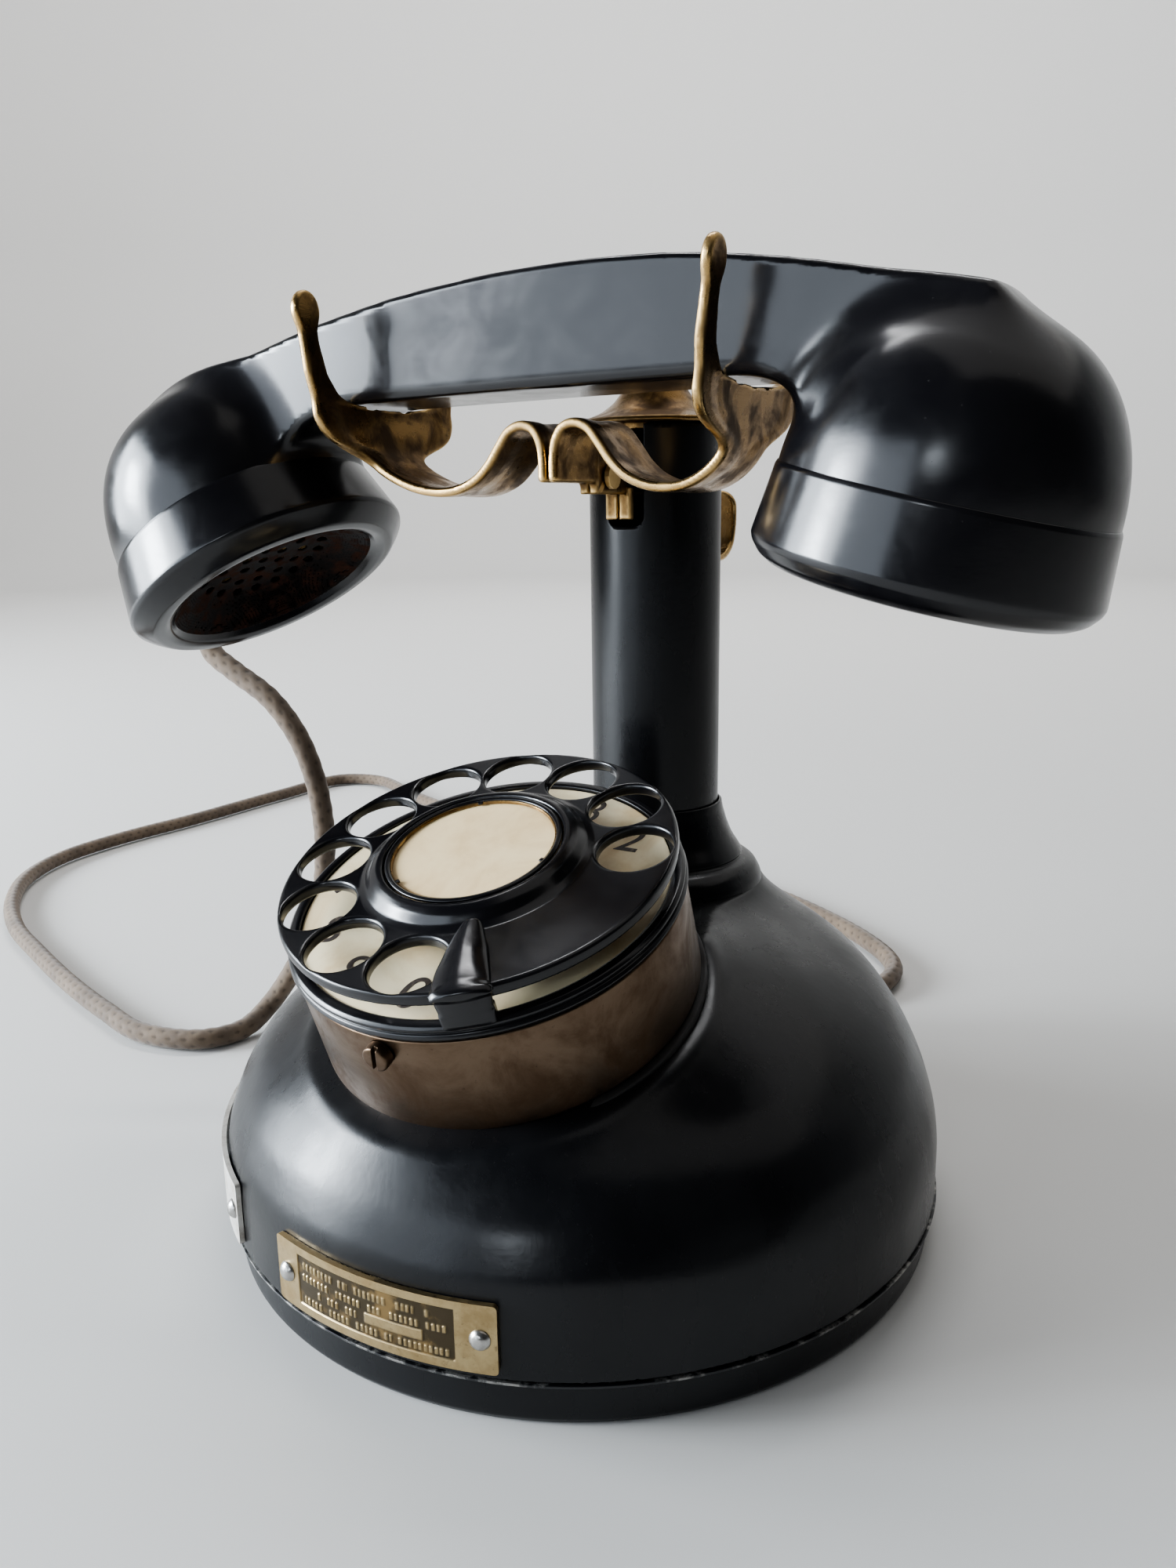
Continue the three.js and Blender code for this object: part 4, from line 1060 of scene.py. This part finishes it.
def build_dial_body():
    can = turned(
        "can",
        [
            (0, CAN_FLOOR), (CAN_RADIUS - 0.6, CAN_FLOOR), (CAN_RADIUS, CAN_FLOOR + 0.7),
            (CAN_RADIUS, CAN_TOP - 0.1), (CAN_RADIUS - 1.2, CAN_TOP),
            (CAN_RADIUS - 1.2, CAN_FLOOR + 1.5), (0, CAN_FLOOR + 1.5),
        ],
        DIAL_FRAME,
        segments=192,
    )
    finish_piece(can, "base", "worn_nickel", "dial_can")
    low, high = CAN_FLOOR - 2.1, CAN_FLOOR - 0.3
    washer = [(28, low), (39.9, low), (39.9, high), (28, high)]
    gasket = turned("gasket", washer, DIAL_FRAME, 0.5, 160, closed=True)
    finish_piece(gasket, "base", "black_rubber", "dial_gasket")
    beads = [
        (36.8, -10.35), (38.4, -10.35), (39.2, -10.1), (39.6, -9.4), (39.2, -8.75), (38.8, -8.55),
        (39.2, -8.2), (39.3, -7.6), (38.7, -7.0), (37.5, -6.85), (36.8, -7.1),
    ]
    bezel = turned("bezel", beads, DIAL_FRAME, 0.35, 192, closed=True)
    finish_piece(bezel, "base", "black_ebonite", "bezel_ring")
    disc = [(5, -8.4), (36.6, -8.4), (36.6, -7.7), (36.2, -7.6), (5, -7.6)]
    plate = turned("number_disc", disc, DIAL_FRAME, 0.2, 160, closed=True)
    finish_piece(plate, "base", "cream_enamel", "number_plate")
    build_digits()
    build_can_screw()


def build_digits():
    """Plain numerals 1 to 9 and 0 in a ring under the finger holes, upright towards the column."""
    for k in range(HOLE_COUNT):
        curve = bpy.data.curves.new(f"digit_{k}", "FONT")
        curve.body = str((k + 1) % 10)
        curve.size = 11.5
        curve.align_x = "CENTER"
        curve.align_y = "CENTER"
        curve.extrude = 0.03
        letter = bpy.data.objects.new(f"digit_{k}_curve", curve)
        mesh = bpy.data.meshes.new_from_object(letter)
        bpy.data.objects.remove(letter)
        x, y = on_dial(FIRST_HOLE + 3 - k * HOLE_STEP, WHEEL_PITCH - 0.4)
        mesh.transform(Matrix.Scale(MM, 4) @ DIAL_FRAME @ shift(x, y, -7.56))
        mesh.name = f"digit_{(k + 1) % 10}"
        piece = add_object(mesh.name, mesh)
        finish_piece(piece, "base", "black_enamel", look=INK)


def slotted_head(name, radius, height, place, depth, width):
    """A cheese-head screw with a real slot, its axis along the frame's Z."""

    def field(x, y, z):
        r = np.hypot(x, y)
        dome = z - height + 0.035 * r**2 / radius
        head = smooth_max(smooth_max(r - radius, dome, 0.5), -z, 0.2)
        slot = np.maximum(np.abs(x) - width / 2, height - depth - z)
        return smooth_max(head, -slot, 0.15)

    low = (-radius - 0.6, -radius - 0.6, -0.5)
    high = (radius + 0.6, radius + 0.6, height + 0.6)
    return implicit(name, field, low, high, 0.16, place)


def build_can_screw():
    bearing, slot_turn = math.radians(177.5), math.radians(-12)
    centre = DIAL_FRAME @ shift(0, 0, -13.8) @ turn(-bearing, "Z")
    place = (
        centre @ shift(0, CAN_RADIUS + 0.2, 0) @ turn(-math.pi / 2, "X") @ turn(slot_turn, "Z")
    )
    screw = slotted_head("can_screw", 2.6, 2.3, place, 1.0, 0.8)
    finish_piece(screw, "base", "worn_nickel", "dial_can_screw")


def build_finger_stop():
    """A black horn that hooks round the wheel's rim, then narrows over it to a raised point."""
    left_edge = [(23, -1.1), (25.8, 1.4), (30, 3.5), (34.4, 4.9), (38.7, 5.5), (42, 5.5)]
    right_edge = [(23, -2.7), (25.8, -3.5), (30, -4.1), (34.4, -4.6), (38.7, -5.1), (42, -5.5)]
    back_line = [(22, 4.3), (26, 3.6), (31, 3.0), (36, 2.7), (39, 2.4), (42, 1.7)]
    left, right = (table(edge, 0.7, 20, 46) for edge in (left_edge, right_edge))
    crest = table(back_line, 0.9, 20, 46)

    def field(x, y, z):
        middle = (look_up(left, y) + look_up(right, y)) / 2
        half = np.maximum((look_up(left, y) - look_up(right, y)) / 2, 0.25)
        side = (np.abs(x - middle) - half) * 0.85
        fall = 1.6 * np.minimum(half / 4, 1)
        bow = look_up(crest, y) - fall * ((x - middle) / half.clip(1.5)) ** 2
        under = 0.55 - z + 0.5 * np.clip(look_up(crest, y) - 2.6, 0, 3)
        blade = smooth_max(smooth_max(z - bow, under, 0.5), side, 0.7)
        blade = smooth_max(smooth_max(blade, y - 41.5, 0.9), 24.4 - y, 0.5)
        bulge = y + 0.035 * x**2
        width = 5.2 - 0.06 * np.clip(-z, 0, 7) ** 1.6
        post = smooth_max(smooth_max(bulge - 41.5, 39.5 - y, 0.5), np.abs(x) - width, 1.4)
        post = smooth_max(post, np.abs(z + 2.2) - 3.9, 1.3)
        foot = smooth_max(np.abs(y - 39.2) - 1.6, np.abs(x) - 4.6, 0.6)
        foot = smooth_max(foot, np.abs(z + 4.9) - 1.5, 0.5)
        return smooth_min(smooth_min(blade, post, 1.3), foot, 0.8)

    place = DIAL_FRAME @ turn(-math.radians(STOP_ANGLE), "Z")
    stop = implicit("stop_horn", field, (-7, 22, -7.6), (7, 43.2, 5.8), 0.28, place)
    finish_piece(stop, "base", "black_ebonite", "finger_stop")


# ---- handset --------------------------------------------------------------------------------
GRIP_HALF = 12.0
TOP_LINE = [
    (-125, 170), (-106, 177.6), (-98, 180.6), (-79, 187), (-58, 192), (-34, 196), (-10, 198),
    (11, 198.4), (30, 197.4), (46, 195.2), (60, 192.4), (72, 189.6), (84, 186.6), (110, 179),
]
UNDER_LINE = [
    (-128, 150), (-78, 163), (-61, 172), (-49, 175.8), (0, 176.1), (44, 176), (56, 172), (112, 150),
]


def cup_coordinates(centre, tilt, x, y, z):
    """World millimetres to the frame of the cap at `centre`, an x and a z."""
    c, s = math.cos(tilt), math.sin(tilt)
    dx, dz = x - centre[0], z - centre[1]
    return dx * c - dz * s, y - CRADLE_MID, dx * s + dz * c


def build_handset_body():
    top = table(TOP_LINE, 5, -128, 112)
    bottom = table(UNDER_LINE, 3, -128, 112)

    def cup(centre, tilt, widest, radius, height, power, lean, x, y, z):
        """A superellipse turned about a leaning axis, and the room left for its cap."""
        u, v, w = cup_coordinates(centre, tilt, x, y, z)
        r = np.hypot(u - lean * (w - CAP_TOP + 4), v)
        size = ((r / radius) ** power + (np.abs(w - widest) / height) ** power) ** (1 / power)
        return (size - 1) * radius * 0.93, np.minimum(CAP_TOP - 2.5 - w, radius + 0.6 - r)

    def field(x, y, z):
        side = np.abs(y - CRADLE_MID) - GRIP_HALF - 0.02 * (z - 186)
        over = (z - look_up(top, x)) * 0.98
        under = (look_up(bottom, x) - z) * 0.96
        bar = smooth_max(smooth_max(side, over, 1.6), under, 2.4)
        facet_right = (x - 85) * 0.919 + (z - 186) * 0.395
        fading = 1.2 + 0.9 * np.clip(187 - z, 0, 12)
        bar = smooth_max(smooth_max(bar, facet_right, fading), -(x + 108.5), 1.6)
        ear, ear_room = cup(EAR, EAR_TILT, 8, 29.4, 35.5, 2.3, 0, x, y, z)
        mouth, mouth_room = cup(MOUTH, MOUTH_TILT, 9, 31.9, 35.2, 2.9, 0.1, x, y, z)
        body = smooth_min(smooth_min(bar, ear, 7.0), mouth, 7.0)
        return smooth_max(smooth_max(body, ear_room, 0.5), mouth_room, 0.5)

    body = implicit("handset_grip", field, (-128, -36, 126), (112, 33, 201), 1.05)
    finish_piece(body, "handset", "black_ebonite", "handset_body")


def build_cap(name, place, rim, seam, hole, corner, node):
    """A screwed cap: a slightly conical wall, a rounded rim and a dished front."""
    profile = [
        (seam - 0.9, CAP_TOP), (seam - 0.2, CAP_TOP - 0.15), (seam + 0.1, CAP_TOP - 0.9),
        (rim - 0.1, 1.2 * corner), (rim, 0.2), (rim - 0.35, -0.9 * corner),
        (rim - 1.9, -2.9 * corner), (rim - 4.2, -4.2), (rim - 6.6, -4.3), (rim - 8.2, -3.7),
        (rim - 9.3, -2.6), (rim - 12.2, -0.1), (hole + 0.4, 3.1), (hole, 3.6), (hole, 5.0),
        (27.5, 5.0), (27.5, CAP_TOP),
    ]
    cap = turned(name, profile, place, 0.7, 160, closed=True)
    finish_piece(cap, "handset", "black_ebonite", node)


def build_caps():
    build_cap("ear_cap", EAR_FRAME, EAR_RIM, EAR_SEAM, EAR_HOLE, 1.0, "earpiece_cap")
    build_cap("mouth_cap", MOUTH_FRAME, MOUTH_RIM, MOUTH_SEAM, MOUTH_HOLE, 0.8, "mouthpiece_cap")
    build_grille()


def build_grille():
    """The dished fibre grille in the mouthpiece, with rings of round holes."""
    dished = [(0, 4.0), (15, 3.8), (17.5, 2.6), (22.6, -0.7), (24.6, -2.3), (26, -3.0)]
    front = table(dished, 0.5, 0, 28)
    rings = [(5.2, 6), (10.4, 12), (15.2, 18)]

    def field(x, y, z):
        r = np.hypot(x, y)
        face = look_up(front, r)
        dish = smooth_max(smooth_max(face - z, z - face - 0.55, 0.2), r - 25.4, 0.3)
        bearing = np.arctan2(x, y)
        holes = r - 1.1
        for radius, count in rings:
            step = 2 * math.pi / count
            across = radius * (np.mod(bearing + step / 2, step) - step / 2)
            holes = np.minimum(holes, np.hypot(r - radius, across) - 1.15)
        return smooth_max(dish, -holes, 0.3)

    grille = implicit("mouth_grille", field, (-26, -26, -3.6), (26, 26, 5.2), 0.4, MOUTH_FRAME)
    finish_piece(grille, "handset", "brown_fibre", "transmitter_grille", look=GRILLE)


def build_bush():
    """The rubber bushes where the cord leaves the handset and enters the base."""
    back = turn(-math.pi / 2, "X")
    sleeve = [(3.1, 27), (5.6, 27), (5.8, 31.4), (5.3, 33.6), (4.4, 36.4), (3.9, 38), (3.1, 38.2)]
    cup_side = MOUTH_FRAME @ shift(0, 0, 20) @ turn(math.radians(60), "Z") @ back
    bush = turned("handset_bush", sleeve, cup_side, 0.6, 64, closed=True)
    finish_piece(bush, "handset", "black_rubber", "handset_cord_bush")
    nose = [(7, 79.3), (7, 80.8), (5.8, 82.2), (5.2, 85), (4.6, 88), (3.9, 88.2)]
    shank = [(3.3, 75), (4.9, 75), (4.9, 79.3)]
    base_back = shift(0, 0, 14.6) @ back
    gland = turned("base_gland", shank + nose, base_back, 0.6, 64, closed=True)
    finish_piece(gland, "base", "black_rubber", "cord_gland")


# ---- room -----------------------------------------------------------------------------------
def build_room():
    """A pale floor that runs up into a curved backdrop behind the telephone."""
    reach, bend, height = 2.6, 0.9, 3.4
    profile = [
        (reach + bend * math.sin(a), bend * (1 - math.cos(a)))
        for a in np.linspace(0, math.pi / 2, 17)
    ]
    profile.append((reach + bend, height))
    behind = math.radians(120.66)
    bearings = behind + np.radians(np.linspace(-85, 85, 69))
    vertices = [(r * math.cos(a), r * math.sin(a), z) for r, z in profile for a in bearings]
    columns = len(bearings)
    faces = [
        (i * columns + j, i * columns + j + 1, (i + 1) * columns + j + 1, (i + 1) * columns + j)
        for i in range(len(profile) - 1)
        for j in range(columns - 1)
    ]
    s = Shader("floor_pale", Roughness=0.6)
    s.bsdf.inputs["Base Color"].default_value = (0.6, 0.59, 0.57, 1)
    disc = [(7 * math.cos(a), 7 * math.sin(a), 0) for a in np.radians(np.arange(0, 360, 4))]
    for name, points, sides in (
        ("backdrop", vertices, faces),
        ("floor", disc, [tuple(range(len(disc)))]),
    ):
        mesh = bpy.data.meshes.new(name)
        mesh.from_pydata(points, [], sides)
        mesh.polygons.foreach_set("use_smooth", [True] * len(mesh.polygons))
        mesh.materials.append(s.material)
        stage = add_object(name, mesh)


def build_world():
    """Dim daylight, a little stronger from behind the telephone."""
    world = bpy.data.worlds.new("studio")
    bpy.context.scene.world = world
    world.use_nodes = True
    tree = world.node_tree
    direction = add_node(tree, "ShaderNodeTexCoord").outputs["Generated"]
    sockets = {0: direction, 1: (-0.35, 0.93, 0.0)}
    facing = add_node(tree, "ShaderNodeVectorMath", sockets, operation="DOT_PRODUCT")
    strength = map_range(tree, facing.outputs["Value"], -0.25, 0.7, 0.05, 0.45)
    background = tree.nodes["Background"]
    background.inputs["Color"].default_value = (0.78, 0.81, 0.86, 1)
    tree.links.new(strength, background.inputs["Strength"])


def build_light(name, place, target, size, power, tint):
    data = bpy.data.lights.new(name, "AREA")
    data.shape = "RECTANGLE"
    data.size, data.size_y = size
    data.energy = power
    data.color = tint
    light = add_object(name, data)
    light.location = place
    light.rotation_euler = (Vector(target) - Vector(place)).to_track_quat("-Z", "Y").to_euler()


def build_lights():
    aim = (0, 0, 0.12)
    build_light("window", (-1.31, -0.74, 0.5), aim, (1.1, 0.85), 52, (0.84, 0.92, 1.0))
    build_light("bright_pane", (-1.09, -0.72, 0.45), aim, (0.3, 0.34), 17, (0.86, 0.93, 1.0))
    build_light("window_edge", (-0.56, -1.39, 0.5), aim, (0.92, 0.8), 7.5, (0.8, 0.89, 1.0))
    build_light("far_window", (0.26, -1.78, 0.76), aim, (0.35, 0.25), 3, (0.86, 0.93, 1.0))
    build_light("wall_wash", (-0.5, 0.9, 2.3), (-1.7, 3.0, 0.5), (1.6, 0.8), 85, (0.97, 0.98, 1.0))
    build_light("ceiling", (0.5, 0.5, 1.9), aim, (2.4, 2.4), 9, (1.0, 0.97, 0.93))


# ---- everything -----------------------------------------------------------------------------
build_cord()
dress_cad_nodes()
build_base_shell()
build_foot()
build_plates()
build_column()
build_rear_hook()
build_cradle()
build_finger_wheel()
build_dial_body()
build_finger_stop()
build_handset_body()
build_caps()
build_bush()
build_room()
build_world()
build_lights()
bpy.context.scene.view_settings.view_transform = "AgX"
bpy.context.scene.view_settings.look = "AgX - Medium High Contrast"
